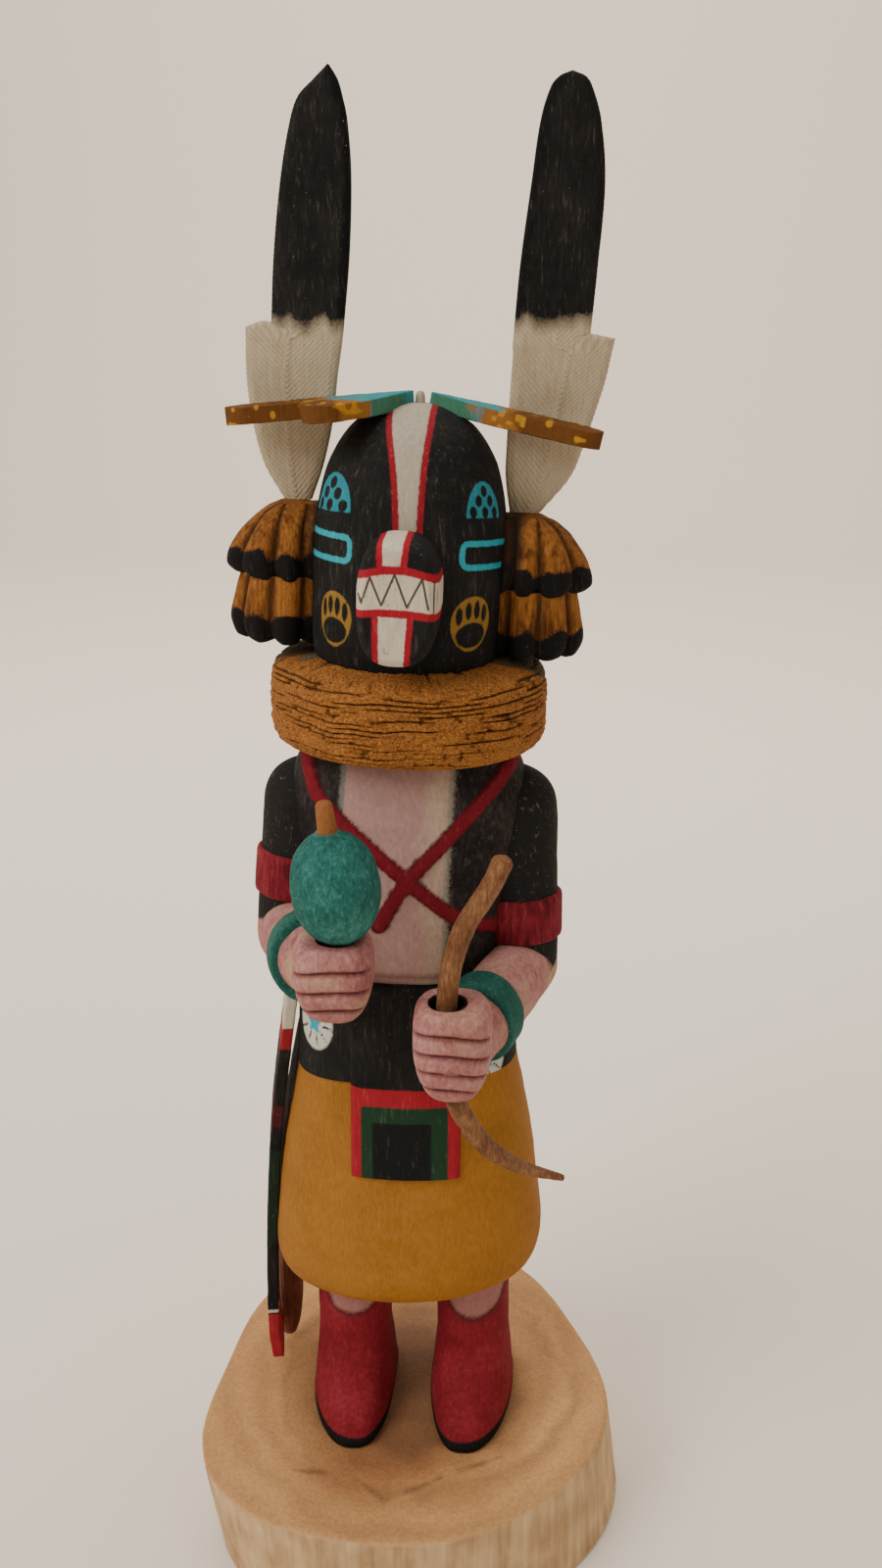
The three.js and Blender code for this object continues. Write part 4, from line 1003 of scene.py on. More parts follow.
@dataclass
class Base:
    """Live-edge slice of light wood, sanded on top and grained round its side."""

    thickness: float = 25.0
    radius: float = 46.95
    waves: tuple = ((2, -1.32, 1.02), (3, 0.63, -1.39), (4, -0.77, -0.52), (5, 0.96, -0.31))
    lean: tuple = (3.1, 1.5)
    rows: tuple = (
        (0, 12.0), (0, 0.9), (0.8, 0.2), (12.5, 0), (23.8, 0), (24.2, 0.08), (24.64, 0.42), (24.9, 0.8),
        (25, 1.2), (25, 6), (25, 16), (25, 28), (25, 40),
    )
    parts: tuple = (4, 4, 14, 14, 4, 4, 4, 4, 4, 12, 12, 4)
    crack: tuple = ((-24.4, -30.3), (-12.0, -31.0), (-4.2, -37.0), (3.2, -33.1), (10.7, -28.5), (20.0, -24.0))

    def build(self) -> bpy.types.Object:
        """Make the slice with its top, side and underside."""
        turn = turns(480)
        radius = self.radius + sum(c * np.cos(n * turn) + s * np.sin(n * turn) for n, c, s in self.waves)
        rows = np.array(self.rows)
        rings = [
            start + (end - start) * t
            for start, end, parts in zip(rows, rows[1:], self.parts)
            for t in np.linspace(0, 1, parts, endpoint=False)
        ]
        values = np.array([*rings, rows[-1]])
        down = (1 - values[:, :1] / self.thickness)
        r = radius[None, :] - values[:, 1:]
        x, y = r * np.cos(turn) + self.lean[0] * down, r * np.sin(turn) + self.lean[1] * down
        z = values[:, :1] + 0 * x
        grid = np.stack([x, y, z], -1)
        low, high = grid.reshape(-1, 3).min(0), grid.reshape(-1, 3).max(0)
        grid[..., :2] -= ((low + high) / 2)[:2]
        shell = Shell(grid, 0)
        around = np.stack([turn[None, :] * 47 + 0 * z, 0 * z, z], -1)
        side = smooth(z, 0.4, 2.0) * smooth(z, 24.9, 23.6) * smooth(values[:, 1:] + 0 * z, 1.0, 0.5)
        flutes = 0.12 * speckle(around, (1.0, 9, 16), 21) + 0.3 * speckle(around, (4.5, 9, 60), 22)
        nicks = 0.35 * smooth(speckle(around, (0.9, 9, 7), 23), 0.45, 0.9)
        shell.raise_by(side * (flutes - nicks - 0.35))
        x, y, _ = np.moveaxis(grid, -1, 0)
        shell.marks["side"] = (z - 24.6) * 2 + np.maximum(values[:, 1:] - 1.3, 0) * 4 * (z > 12)
        wander = 5 * speckle(grid, 11.0, 24) + 2.5 * speckle(grid, 4.0, 25)
        # Darker brown round and between the boots: a stain, with painted shadow of the boots in it.
        between = oval_mark(x, y - 4, 9, 26)
        shell.marks["soil"] = np.minimum(between, oval_mark(x, y + 3, 27, 27) + 3) + wander
        shell.marks["ring"] = np.abs(np.hypot(x - 2, y + 2) + 0.6 * wander - 33) - 0.9
        shell.marks["warm"] = oval_mark(x + 2, y + 28, 17, 8) + 0.8 * wander
        crack = union(line_mark(x, y, start, end, 0.3) for start, end in zip(self.crack, self.crack[1:]))
        shell.marks["crack"] = crack + 0.8 * speckle(grid, 3.0, 26)
        return finished("wood_slice", [shell], [self.wood()], "base")

    def wood(self) -> bpy.types.Material:
        """Cottonwood root cut across: soft tan rings above, pale upright fibre round the side."""
        made = bpy.data.materials.new("sanded cottonwood slice")
        made.use_nodes = True
        tree = made.node_tree
        tree.nodes.clear()
        where = add(tree, "ShaderNodeTexCoord", out="Object")
        up = add(tree, "ShaderNodeMapping", {"Vector": where, "Scale": (1.0, 1.0, 0.06)})
        wave, cloud, grit, fibre, broad = (
            add(tree, "ShaderNodeTexNoise", {"Vector": vector, "Scale": scale, "Detail": detail})
            for vector, scale, detail in (
                (where, 45.0, 3.0), (where, 28.0, 6.0), (where, 1500.0, 3.0),
                (up, 520.0, 5.0), (where, 110.0, 5.0))
        )
        rings = add(
            tree,
            "ShaderNodeTexWave",
            {"Vector": where, "Scale": 38.0, "Distortion": 5.0, "Detail": 3.0, "Detail Scale": 1.2},
            wave_type="RINGS",
            rings_direction="Z", out="Fac"
        )
        feeds = {0: cloud, 6: linear("#a37241"), 7: linear("#d3a268")}
        top = add(tree, "ShaderNodeMix", feeds, data_type="RGBA", out=2)
        faint = add(tree, "ShaderNodeMath", {0: rings, 1: 0.3}, operation="MULTIPLY")
        top = add(tree, "ShaderNodeMix", {0: faint, 6: top, 7: linear("#93653a")}, data_type="RGBA", out=2)
        for mark, colour, soft, cover in (
            ("warm", "#9a6136", 12.0, 0.55),
            ("ring", "#80583a", 3.5, 0.38),
            # Stain round the boots with their painted shadow
            ("soil", "#613c25", 13.0, 0.72),
            ("crack", "#5f3f26", 1.6, 0.75),
        ):
            outline = add(tree, "ShaderNodeAttribute", attribute_name=mark, out="Fac")
            inside = add(
                tree,
                "ShaderNodeMapRange",
                {"Value": outline, "From Min": soft / 2, "From Max": -soft / 2, "To Max": cover},
                interpolation_type="SMOOTHSTEP"
            )
            top = add(tree, "ShaderNodeMix", {0: inside, 6: top, 7: linear(colour)}, data_type="RGBA", out=2)
        feeds = {"Value": grit, "From Min": 0.35, "From Max": 0.65, "To Min": 0.86, "To Max": 1.1}
        pores = add(tree, "ShaderNodeMapRange", feeds)
        top = add(
            tree, "ShaderNodeMix", {0: 1.0, 6: top, 7: pores}, data_type="RGBA", blend_type="MULTIPLY", out=2
        )
        both = add(tree, "ShaderNodeMath", {0: fibre, 1: broad}, operation="ADD")
        both = add(tree, "ShaderNodeMapRange", {"Value": both, "From Min": 0.62, "From Max": 1.38})
        feeds = {0: both, 6: linear("#9a7246"), 7: linear("#dab888")}
        side = add(tree, "ShaderNodeMix", feeds, data_type="RGBA", out=2)
        edge = add(tree, "ShaderNodeAttribute", attribute_name="side", out="Fac")
        edge = add(tree, "ShaderNodeMapRange", {"Value": edge, "From Min": 0.6, "From Max": -0.6})
        colour = add(tree, "ShaderNodeMix", {0: edge, 6: top, 7: side}, data_type="RGBA", out=2)
        tall = add(tree, "ShaderNodeMix", {0: edge, 2: grit, 3: fibre})
        bump = add(tree, "ShaderNodeBump", {"Height": tall, "Strength": 0.5, "Distance": 0.0003})
        rough = add(tree, "ShaderNodeMapRange", {"Value": wave, "To Min": 0.55, "To Max": 0.8})
        shader = add(
            tree, "ShaderNodeBsdfPrincipled", {"Base Color": colour, "Roughness": rough, "Normal": bump}
        )
        add(tree, "ShaderNodeOutputMaterial", {"Surface": shader})
        return made


@dataclass
class Snout:
    """Rounded block on the face, painted with a cross of white bars and a row of teeth."""

    width: float = 14.8
    bottom: float = 176.8
    top: float = 199.6
    reach: float = 10.0
    teeth: tuple = ((-6.6, 215.0), (-6.0, 213.4), (-4.6, 218.1), (-2.5, 213.4), (-0.4, 218.8), (1.9, 213.3),
                    (4.3, 218.3), (5.6, 213.0))

    def build(self) -> bpy.types.Object:
        """Make the block over the mask's curve and paint it."""
        half = (self.top - self.bottom) / 2
        rows = [[0, 1], [0.55, 1], [0.8, 0.96], [0.93, 0.87], [1, 0.7]]
        values = rows_at(rows, stops(rows, 60))
        start_y, end_y = -HEAD.front + 5, -HEAD.front - self.reach
        turn = turns(200)
        side, tall = bent(np.cos(turn), 2 / 2.7), bent(np.sin(turn), 2 / 2.7)
        shape = [(share, self.width / 2 * full**0.8, half * full**0.5) for share, full in values]
        wide, high = shape[-1][1:]
        shape += [(1.0 + 0.012 * (1 - k), wide * k, high * k) for k in np.linspace(0.97, 0.03, 50)]
        middle = FLOOR + (self.top + self.bottom) / 2
        share, wide, high = (column[:, None] for column in np.array(shape).T)
        y = start_y + (end_y - start_y) * share + 0 * side
        grid = np.stack([HEAD.x + wide * side, y, middle + high * tall], -1)
        skin = HEAD.front_at(grid[..., 0], grid[..., 2] - FLOOR) - GAP
        grid[..., 1] = np.minimum(grid[..., 1], skin)
        shell = Shell(grid, 0)
        x, y, z = np.moveaxis(grid, -1, 0)
        across = x - HEAD.x
        drop = 0.03 * across**2
        band = np.maximum(z - 218.8 + drop, 212.8 - 0.4 * drop - z)
        upper = np.maximum(np.abs(across + 1.0) - 1.55 - 0.08 * (z - 221), 220.2 - z)
        lower = np.maximum(np.abs(across + 0.5) - 2.35 - 0.04 * (z - 208), z - 211.4)
        shell.marks["red"] = np.minimum(np.minimum(upper, lower) - 1.1, band - 1.35)
        shell.marks["white"] = np.minimum(np.minimum(upper, lower), band)
        strokes = [(start, end, 0.2) for start, end in zip(self.teeth, self.teeth[1:])]
        strokes += [((post, 217.8), (post + 0.15, 212.2), 0.14) for post in (6.35, 6.95)]
        tooth = union(line_mark(across, z, *stroke) for stroke in strokes)
        shell.marks["tooth"] = np.maximum(tooth, fence(y < end_y + 2.2))
        specks = 0.9 - 1.6 * speckle(grid, (0.5, 0.5, 0.7), 33)
        shell.marks["speck"] = np.maximum(specks, shell.marks["white"])
        shell.raise_by(0.08 * speckle(grid, 3.0, 14) - 0.05)
        shell.grid = leaning(shell.grid)
        finish = PaintedWood("white and red paint on snout", "#1b1a1b", "#0e0e0f", "#2f2d2c", (
            Paint("red", "#a51d2b", 0.25, 0.3),
            Paint("white", "#d2c6b0", 0.2, 0.25),
            Paint("speck", "#8d7f68", 0.3, 0.3, 0.5),
            Paint("tooth", "#2c1c16", 0.12, 0.06, 0.9),
        ), fibre=0.3, relief=0.05, contrast=0.5, scuff=0.1)
        return finished("snout_block", [shell], [finish.material()], "snout")


@dataclass
class EarTuft:
    """Two tiers of round lobes at the side of the mask, brown with black tips."""

    side: Side
    reach: float = 35.0
    depth: float = 21.0
    top: float = 200.7
    split: float = 186.8
    bottom: float = 174.7
    lobes: int = 9

    def tier(self, rows: list, bottom: float, top: float, seed: int) -> Shell:
        """One tier, its valleys cut deeper towards the lower edge."""
        values = rows_at(rows, stops(rows, 56))
        turn = turns(self.lobes * 20)
        up, reach, deep = (values[:, k : k + 1] for k in (0, 1, 2))
        wobble = 0.18 * np.sin(2.3 * turn + seed)
        wave = np.abs(np.sin(self.lobes * turn / 2 + wobble))
        groove = (1 - wave) ** 1.4
        lobe = 1 - 0.17 * groove * (1.15 - 0.6 * up)
        middle = self.reach * 0.66
        outward = np.cos(turn)
        wide = np.where(outward > 0, self.reach * reach - middle, middle * 0.36)
        x = HEAD.x + self.side.value * (middle + wide * outward * lobe)
        y = 1 + self.depth / 2 * deep * np.sin(turn) * lobe
        scallop = 0.9 * groove * np.clip(1 - up * 5, 0, 1)
        z = FLOOR + bottom + (top - bottom) * up + scallop + 0 * x
        shell = Shell(np.stack([x, y, z], -1), 0)
        tip = bottom + (0.42 if top > 190 else 0.47) * (top - bottom)
        shell.marks["tip"] = z - FLOOR - tip - 1.1 * speckle(shell.grid, 2.2, seed) + 1.6 * (1 - wave)
        # Painted shade: dark brown down the valleys between the lobes.
        shell.marks["valley"] = 0.55 - groove * 1.0 + 0 * z
        shell.marks["root"] = np.abs(x) - 19.6 + 0.5 * speckle(shell.grid, 2.0, seed)
        shell.raise_by(0.14 * speckle(shell.grid, (1.6, 1.6, 5), seed + 3) - 0.12)
        shell.grid = leaning(shell.grid)
        return shell

    def build(self) -> bpy.types.Object:
        """Make both tiers, set against the mask."""
        upper = self.tier(
            [[0, 0.9, 0.9], [0.05, 0.96, 0.97], [0.16, 1, 1], [0.4, 0.975, 0.98], [0.7, 0.89, 0.84],
             [0.9, 0.8, 0.62], [1, 0.72, 0.4]], self.split, self.top, 3)
        lower = self.tier(
            [[0, 0.9, 0.82], [0.06, 0.945, 0.92], [0.3, 0.98, 0.97], [0.7, 0.95, 0.95], [1, 0.92, 0.92]],
            self.bottom, self.split + 1, 5)
        lower.marks["root"] = np.full(lower.grid.shape[:2], FAR)
        label = self.side.name.lower()
        finish = PaintedWood(f"brown and black tuft paint {label}", "#865222", "#532e10", "#9e6730", (
            # Painted shade in the valleys between the lobes
            Paint("valley", "#331b0a", 0.6, 0.3, 0.8),
            Paint("tip", "#151313", 0.6, 0.9),
            Paint("root", "#2a221e", 1.6, 0.5, 0.85),
        ), fibre=0.3, relief=0.2, contrast=1.1)
        return finished(f"tuft_{label}", [upper, lower], [finish.material()], f"ear_tuft_{label}")


FEATHERS = {
    Side.RIGHT: (
        [[201.6, 24.6, 19.4], [208, 28.2, 17], [216, 30.2, 15], [224, 31, 13.9], [230, 30.8, 12.9],
         [232.5, 30.6, 12.6]],
        [[232, 26, 12.6], [245, 25, 11.2], [258, 23.2, 10.6], [267, 21.2, 11.1], [270.9, 19.6, 11.9],
         [273.5, 16.8, 12.7], [275.7, 14.3, 14.1]],
        4.0,
    ),
    Side.LEFT: (
        [[199.2, 23.8, 18.3], [206, 29.6, 17.4], [212, 32, 17.5], [220, 34.6, 17.9], [228, 37, 18.4],
         [231.2, 37.8, 18.6]],
        [[229.3, 32.3, 18.3], [243, 33.4, 19.4], [257, 34.2, 21.2], [267, 33.1, 22.6], [272.3, 31.3, 24.3],
         [273.9, 30, 25.8], [274.6, 27.9, 27.7]],
        8.0,
    ),
}


@dataclass(frozen=True)
class Barbs:
    """Fine grooves scored up and out from a feather's quill, cut by Geometry Nodes.

    Attributes:
        pitch: Distance from one groove to the next in mm.
        depth: Depth of a groove in mm.
        slant: Rise of a groove in mm for each mm away from the quill.
    """

    pitch: float = 0.95
    depth: float = 0.16
    slant: float = 0.95

    def cut(self, piece: bpy.types.Object) -> None:
        """Score a piece that has the attributes spine and barbed, and leave it a plain mesh."""
        modifier = piece.modifiers.new("barbs", "NODES")
        modifier.node_group = self.tree()
        coat = piece.data.materials[0]
        values = {"Pitch": self.pitch, "Depth": self.depth, "Slant": self.slant, "Finish": coat}
        for item in modifier.node_group.interface.items_tree:
            if item.in_out == "INPUT" and item.name in values:
                modifier[item.identifier] = values[item.name]
        graph = bpy.context.evaluated_depsgraph_get()
        made = bpy.data.meshes.new_from_object(
            piece.evaluated_get(graph), preserve_all_data_layers=True, depsgraph=graph
        )
        piece.modifiers.remove(modifier)
        piece.data = made

    def tree(self) -> bpy.types.NodeTree:
        """Node tree that lowers the surface along each groove."""
        tree = bpy.data.node_groups.new("barb grooves", "GeometryNodeTree")
        sockets = tree.interface
        sockets.new_socket("Geometry", in_out="INPUT", socket_type="NodeSocketGeometry")
        for name in ("Pitch", "Depth", "Slant"):
            sockets.new_socket(name, in_out="INPUT", socket_type="NodeSocketFloat")
        sockets.new_socket("Finish", in_out="INPUT", socket_type="NodeSocketMaterial")
        sockets.new_socket("Geometry", in_out="OUTPUT", socket_type="NodeSocketGeometry")
        given = add(tree, "NodeGroupInput").node.outputs
        spine, barbed = (
            add(tree, "GeometryNodeInputNamedAttribute", {"Name": name}, data_type="FLOAT", out="Attribute")
            for name in ("spine", "barbed")
        )
        place = add(tree, "GeometryNodeInputPosition")
        height = add(tree, "ShaderNodeSeparateXYZ", {0: place}, out=2)
        tall = add(tree, "ShaderNodeMath", {0: height, 1: 1 / MM}, operation="MULTIPLY")
        value = spine
        for operation, second in (("ABSOLUTE", 0.0), ("MULTIPLY", given["Slant"])):
            value = add(tree, "ShaderNodeMath", {0: value, 1: second}, operation=operation)
        value = add(tree, "ShaderNodeMath", {0: tall, 1: value}, operation="SUBTRACT")
        for operation, second in (
            ("DIVIDE", given["Pitch"]), ("PINGPONG", 0.5), ("MULTIPLY", 2.0), ("POWER", 2.5),
            ("MULTIPLY", barbed), ("MULTIPLY", given["Depth"]), ("MULTIPLY", -MM),
        ):
            value = add(tree, "ShaderNodeMath", {0: value, 1: second}, operation=operation)
        normal = add(tree, "GeometryNodeInputNormal")
        offset = add(tree, "ShaderNodeVectorMath", {0: normal, "Scale": value}, operation="SCALE")
        moved = add(tree, "GeometryNodeSetPosition", {"Geometry": given["Geometry"], "Offset": offset})
        real = add(tree, "GeometryNodeRealizeInstances", {0: moved})
        dressed = add(tree, "GeometryNodeSetMaterial", {"Geometry": real, "Material": given["Finish"]})
        add(tree, "NodeGroupOutput", {0: dressed})
        return tree


@dataclass
class TallFeather:
    """Tall thin feather cut from a plate, its barbs scored into both faces."""

    side: Side
    thickness: float = 2.3
    y: float = 5.0

    def build(self) -> bpy.types.Object:
        """Make the plate, score it with Geometry Nodes and paint it."""
        below, above, turn = FEATHERS[self.side]
        low = rows_at(below, np.linspace(below[0][0], below[-2][0] + 0.4, 150))
        high = rows_at(above, np.linspace(above[0][0], above[-1][0], 180))
        notch = np.linspace(0, 1, 14)[1:-1, None] * (high[0] - low[-1]) + low[-1]
        lip = below[-1][0]
        values = np.concatenate([low, notch, high])
        width = values[:, 1:2] - values[:, 2:3]
        up = values[:, :1]
        across = np.linspace(0, 1, 64)
        x = values[:, 1:2] + (values[:, 2:3] - values[:, 1:2]) * across
        z = values[:, :1] + 0 * x
        peak = smooth(up, lip - 9, lip - 2.4) * smooth(up, lip + 0.3, lip - 1.2)
        z = z + 2.4 * peak * smooth(across, 0.3, 0.0)
        edge = np.minimum(across, 1 - across) * width
        half = self.thickness / 2 * (0.45 + 0.55 * np.clip(edge / 1.3, 0, 1) ** 0.6)
        quill = 0.12 * smooth(np.abs(across - 0.45) * width, 0.9, 0.2)
        face = np.stack([x, -half - quill + 0.02, z], -1)
        rear = np.stack([x, half, z], -1)[:, ::-1]
        grid = np.concatenate([face, rear], 1)
        stem = (below[0][1] + below[0][2]) / 2
        c, s = math.cos(math.radians(turn)), math.sin(math.radians(turn))
        u, v = grid[..., 0] - stem, grid[..., 1].copy()
        grid[..., 0] = self.side.value * (u * c - v * s + stem)
        grid[..., 1] = u * s + v * c + self.y
        grid[..., 2] += FLOOR
        shell = Shell(grid, 0)
        line = np.concatenate([across, across[::-1]])[None, :] * np.ones((len(values), 1))
        heights = grid[..., 2]
        inner = (1 - line) * width
        flap = (np.arange(len(values)) < len(low) + len(notch))[:, None] * smooth(line, 0.36, 0.28)
        shell.marks["white"] = heights - 258.2 - 1.4 * speckle(grid, (1.6, 3, 6), 4) - 4 * flap
        # Painted shade: a near-black strip about 1.3 mm wide along the feather's inner edge.
        shell.marks["inner"] = inner - 1.3 + 0.5 * speckle(grid, 2.0, 5)
        shell.marks["stained"] = np.maximum(1.6 - 2.6 * speckle(grid, (4, 4, 7), 6), heights - 255)
        shell.marks["spine"] = (line - 0.45) * width
        ragged = 0.75 + 0.25 * speckle(grid, (2, 2, 3), 7)
        shell.marks["barbed"] = ragged * np.where(heights < 258, 1.0, 0.45) * smooth(inner, 0.2, 1.0)
        score = Barbs()
        # Painted shade: a light brown tint along the scored barb grooves in the white part.
        wave = (heights - score.slant * np.abs(shell.marks["spine"])) / score.pitch % 1
        shell.marks["groove"] = 0.3 - 1.2 * np.abs(wave - 0.5) + np.where(heights < 259, 0, FAR)
        label = self.side.name.lower()
        finish = PaintedWood(f"black and white feather paint {label}", BLACK, BLACK_DEEP, BLACK_WORN, (
            # Painted shade along the inner edge
            Paint("inner", "#0b0b0b", 0.8, 0.4, 0.8),
            Paint("white", "#c8b799", 3.2, 1.2),
            Paint("stained", "#a99573", 2.4, 0.8, 0.45),
            # Painted shade in the barb grooves
            Paint("groove", "#7d6c54", 0.3, 0.12, 0.3),
        ), fibre=0.2, relief=0.08, contrast=0.6, scuff=0.12)
        return finished(
            f"feather_{label}", [shell], [finish.material()], f"tall_feather_{label}", score
        )


@dataclass
class CrownFeather:
    """Flat painted board on the crown, turquoise inside and ochre towards its end."""

    node: str
    length: float
    heading: float
    drop: float
    bare: float
    thickness: float = 3.2
    width: float = 8.6
    seat: float = 218.9

    def build(self) -> bpy.types.Object:
        """Make the board along its own line, then turn it onto the crown."""
        half, start = self.width / 2, 1.5
        runs = np.concatenate([np.linspace(start, 14, 40), np.linspace(14, self.length - half, 60)[1:],
                               np.linspace(self.length - half, self.length, 30)[1:]])
        side = np.interp(runs, [start, 14, self.length - half], [0.3, half * 0.94, half])
        tail = np.clip((runs - self.length + half) / half, 0, 1)
        side = side * (1 - 0.65 * tail**2.6)
        section = []
        corners = ((-1, 0), (1, 0), (1, 1), (-1, 1))
        for a, b, n in zip(corners, corners[1:] + corners[:1], (26, 12, 26, 12)):
            section += [(a[0] + (b[0] - a[0]) * t, a[1] + (b[1] - a[1]) * t)
                        for t in np.linspace(0, 1, n, endpoint=False)]
        section = np.array(section)
        y = section[:, 0] * side[:, None]
        z = section[:, 1] * self.thickness + 0 * y
        x = runs[:, None] + 0 * y
        grid = np.stack([x, y, z], -1)
        corner = np.minimum(np.abs(section[:, 1] - 0.5), 0.5)[None, :] * 2
        rim = np.clip((np.abs(section[:, 0])[None, :] - 0.9) / 0.1, 0, 1)
        rim = rim * np.clip((corner - 0.8) / 0.2, 0, 1)
        grid[..., 2] += np.where(section[:, 1] > 0.5, -1, 1) * rim * 0.25
        marks = {
            "bare": self.bare - x - 2.5 * speckle(grid, 3.0, 7),
            "green": np.abs(x - self.bare + 3.5) - 4.5 + 2.0 * speckle(grid, 2.5, 8),
            "stipple": self.bare + 7 - x - 3.0 * speckle(grid, 2.5, 9),
            "yellow": 1.1 - 2.4 * speckle(grid, 1.4, 10) + np.where(x > self.bare, 0, FAR),
        }
        top = section[:, 1][None, :] + 0 * x
        inner = x - self.bare - 5 - 2 * speckle(grid, 3.0, 12)
        marks["upper"] = np.maximum(np.where(top > 0.97, -1.0, 1.0), inner)
        pitch, yaw = math.atan2(self.drop, self.length), math.radians(self.heading)
        turn = Matrix.Rotation(yaw, 3, "Z") @ Matrix.Rotation(pitch, 3, "Y")
        grid = grid @ np.array(turn).T + np.array([*CROWN_CENTRE, FLOOR + self.seat])
        shell = Shell(grid, 0, marks)
        shell.raise_by(0.06 * speckle(grid, 1.2, 11) - 0.04)
        finish = PaintedWood(f"crown paint {self.node[14:]}", "#2b8fa0", "#1d6f80", "#4aa9b6", (
            Paint("green", "#4a7140", 3.0, 0.8, 0.8),
            Paint("bare", "#96642c", 1.6, 0.6),
            Paint("stipple", "#5c3512", 1.4, 1.2, 0.8),
            Paint("yellow", "#cf962c", 0.4, 0.3, 0.75),
            Paint("upper", "#2f8f98", 1.0, 0.3, 0.9),
        ), fibre=0.35, relief=0.12, contrast=0.9, fleck="#3c260f", flecks=0.03)
        name = self.node.replace("feather", "board")
        return finished(name, [shell], [finish.material()], self.node)


@dataclass
class Rattle:
    """Gourd rattle with a bare wood nub."""

    radius: float = 8.1
    bottom: float = 129.2
    top: float = 151.0
    nub_top: float = 156.4
    nub: float = 1.9
    x: float = -10.95
    y: float = -38.0
    lean: float = 6.0

    def build(self) -> bpy.types.Object:
        """Turn the gourd and its nub about their axis, then lean them to the doll's right."""
        rows = [[0.0, 0.06], [0.03, 0.36], [0.12, 0.68], [0.25, 0.89], [0.42, 1], [0.6, 0.98], [0.76, 0.87],
                [0.9, 0.62], [0.97, 0.36], [1.0, 0.26]]
        values = rows_at(rows, stops(rows, 80))
        z = self.bottom + (self.top - self.bottom) * values[:, 0]
        r = self.radius * values[:, 1]
        nub_z = np.array([self.top - 0.2, self.top + 0.4, self.nub_top - 2.5, self.nub_top - 0.8,
                          self.nub_top - 0.25, self.nub_top])
        nub_r = self.nub * np.array([1.02, 1.0, 0.92, 0.85, 0.7, 0.4])
        z, r = np.concatenate([z[:-1], nub_z]), np.concatenate([r[:-1], nub_r])
        turn = turns(110)
        x, y = self.x + r[:, None] * np.cos(turn), self.y + r[:, None] * np.sin(turn)
        grid = np.stack([x, y, FLOOR + z[:, None] + 0 * turn], -1)
        shell = Shell(grid, 0)
        shell.marks["nub"] = (FLOOR + self.top - 0.2 - grid[..., 2]) * 2
        shell.raise_by(0.16 * speckle(grid, 5.0, 15) + 0.07 * speckle(grid, 1.2, 16) - 0.16)
        pivot = np.array([self.x, self.y, FLOOR + (self.bottom + self.top) / 2])
        turned = np.array(Matrix.Rotation(math.radians(-self.lean), 3, "Y"))
        shell.grid = (shell.grid - pivot) @ turned.T + pivot
        finish = PaintedWood("teal gourd paint", "#28665e", "#194a45", "#448278", (
            Paint("nub", "#9a6236", 0.5, 0.3),
        ), fibre=0.32, relief=0.16, contrast=0.9, fleck="#93b3a4", flecks=0.055, grain=(1.0, 1.0, 0.5))
        return finished("gourd_rattle", [shell], [finish.material()], "rattle")


@dataclass
class Bow:
    """Peeled bent twig held in the left fist."""

    radius: float = 2.0
    places: tuple = (
        (18.9, -38, 146.6), (16.2, -38, 140.6), (12, -38, 133.2), (9.6, -38, 125.4), (8.7, -38, 116),
        (8.9, -38, 106), (10.6, -37.7, 97), (15.9, -36, 87), (22.5, -33, 80.4), (31, -30, 76),
    )

    def build(self) -> bpy.types.Object:
        """Sweep a round section along the bend."""
        points = np.array(self.places, float)
        steps = np.concatenate([[0], np.cumsum(np.sqrt(np.linalg.norm(np.diff(points, axis=0), axis=1)))])
        table = np.concatenate([steps[:, None], points], 1).tolist()
        path = rows_at(table, np.linspace(0, steps[-1], 260))[:, 1:]
        share = np.linspace(0, 1, 260)
        along = np.gradient(path, axis=0)
        along /= np.linalg.norm(along, axis=1, keepdims=True)
        across = np.array([0, 1.0, 0]) - along * along[:, 1:2]
        across /= np.linalg.norm(across, axis=1, keepdims=True)
        upright = np.cross(along, across)
        radius = self.radius * np.sqrt(1 - np.clip(1 - share / 0.02, 0, 1) ** 2 * 0.8)
        radius = radius * (1 - 0.62 * np.clip((share - 0.72) / 0.28, 0, 1) ** 1.6)
        turn = turns(40)
        ring = across[:, None] * np.cos(turn)[None, :, None] + upright[:, None] * np.sin(turn)[None, :, None]
        grid = path[:, None] + ring * radius[:, None, None]
        grid[..., 2] += FLOOR
        shell = Shell(grid, 0)
        shell.marks["dark"] = 0.9 - 2.2 * speckle(grid, (2.2, 2.2, 7), 17)
        shell.raise_by(0.1 * speckle(grid, (0.8, 0.8, 4), 18) - 0.1)
        finish = PaintedWood("peeled twig", "#7b5134", "#523420", "#96704c", (
            Paint("dark", "#4a2f20", 1.6, 0.4, 0.5),
        ), fibre=0.22, relief=0.08, contrast=0.8, rough=0.62, flecks=0.0, grain=(1.0, 1.0, 0.22))
        return finished("bow_twig", [shell], [finish.material()], "bow")


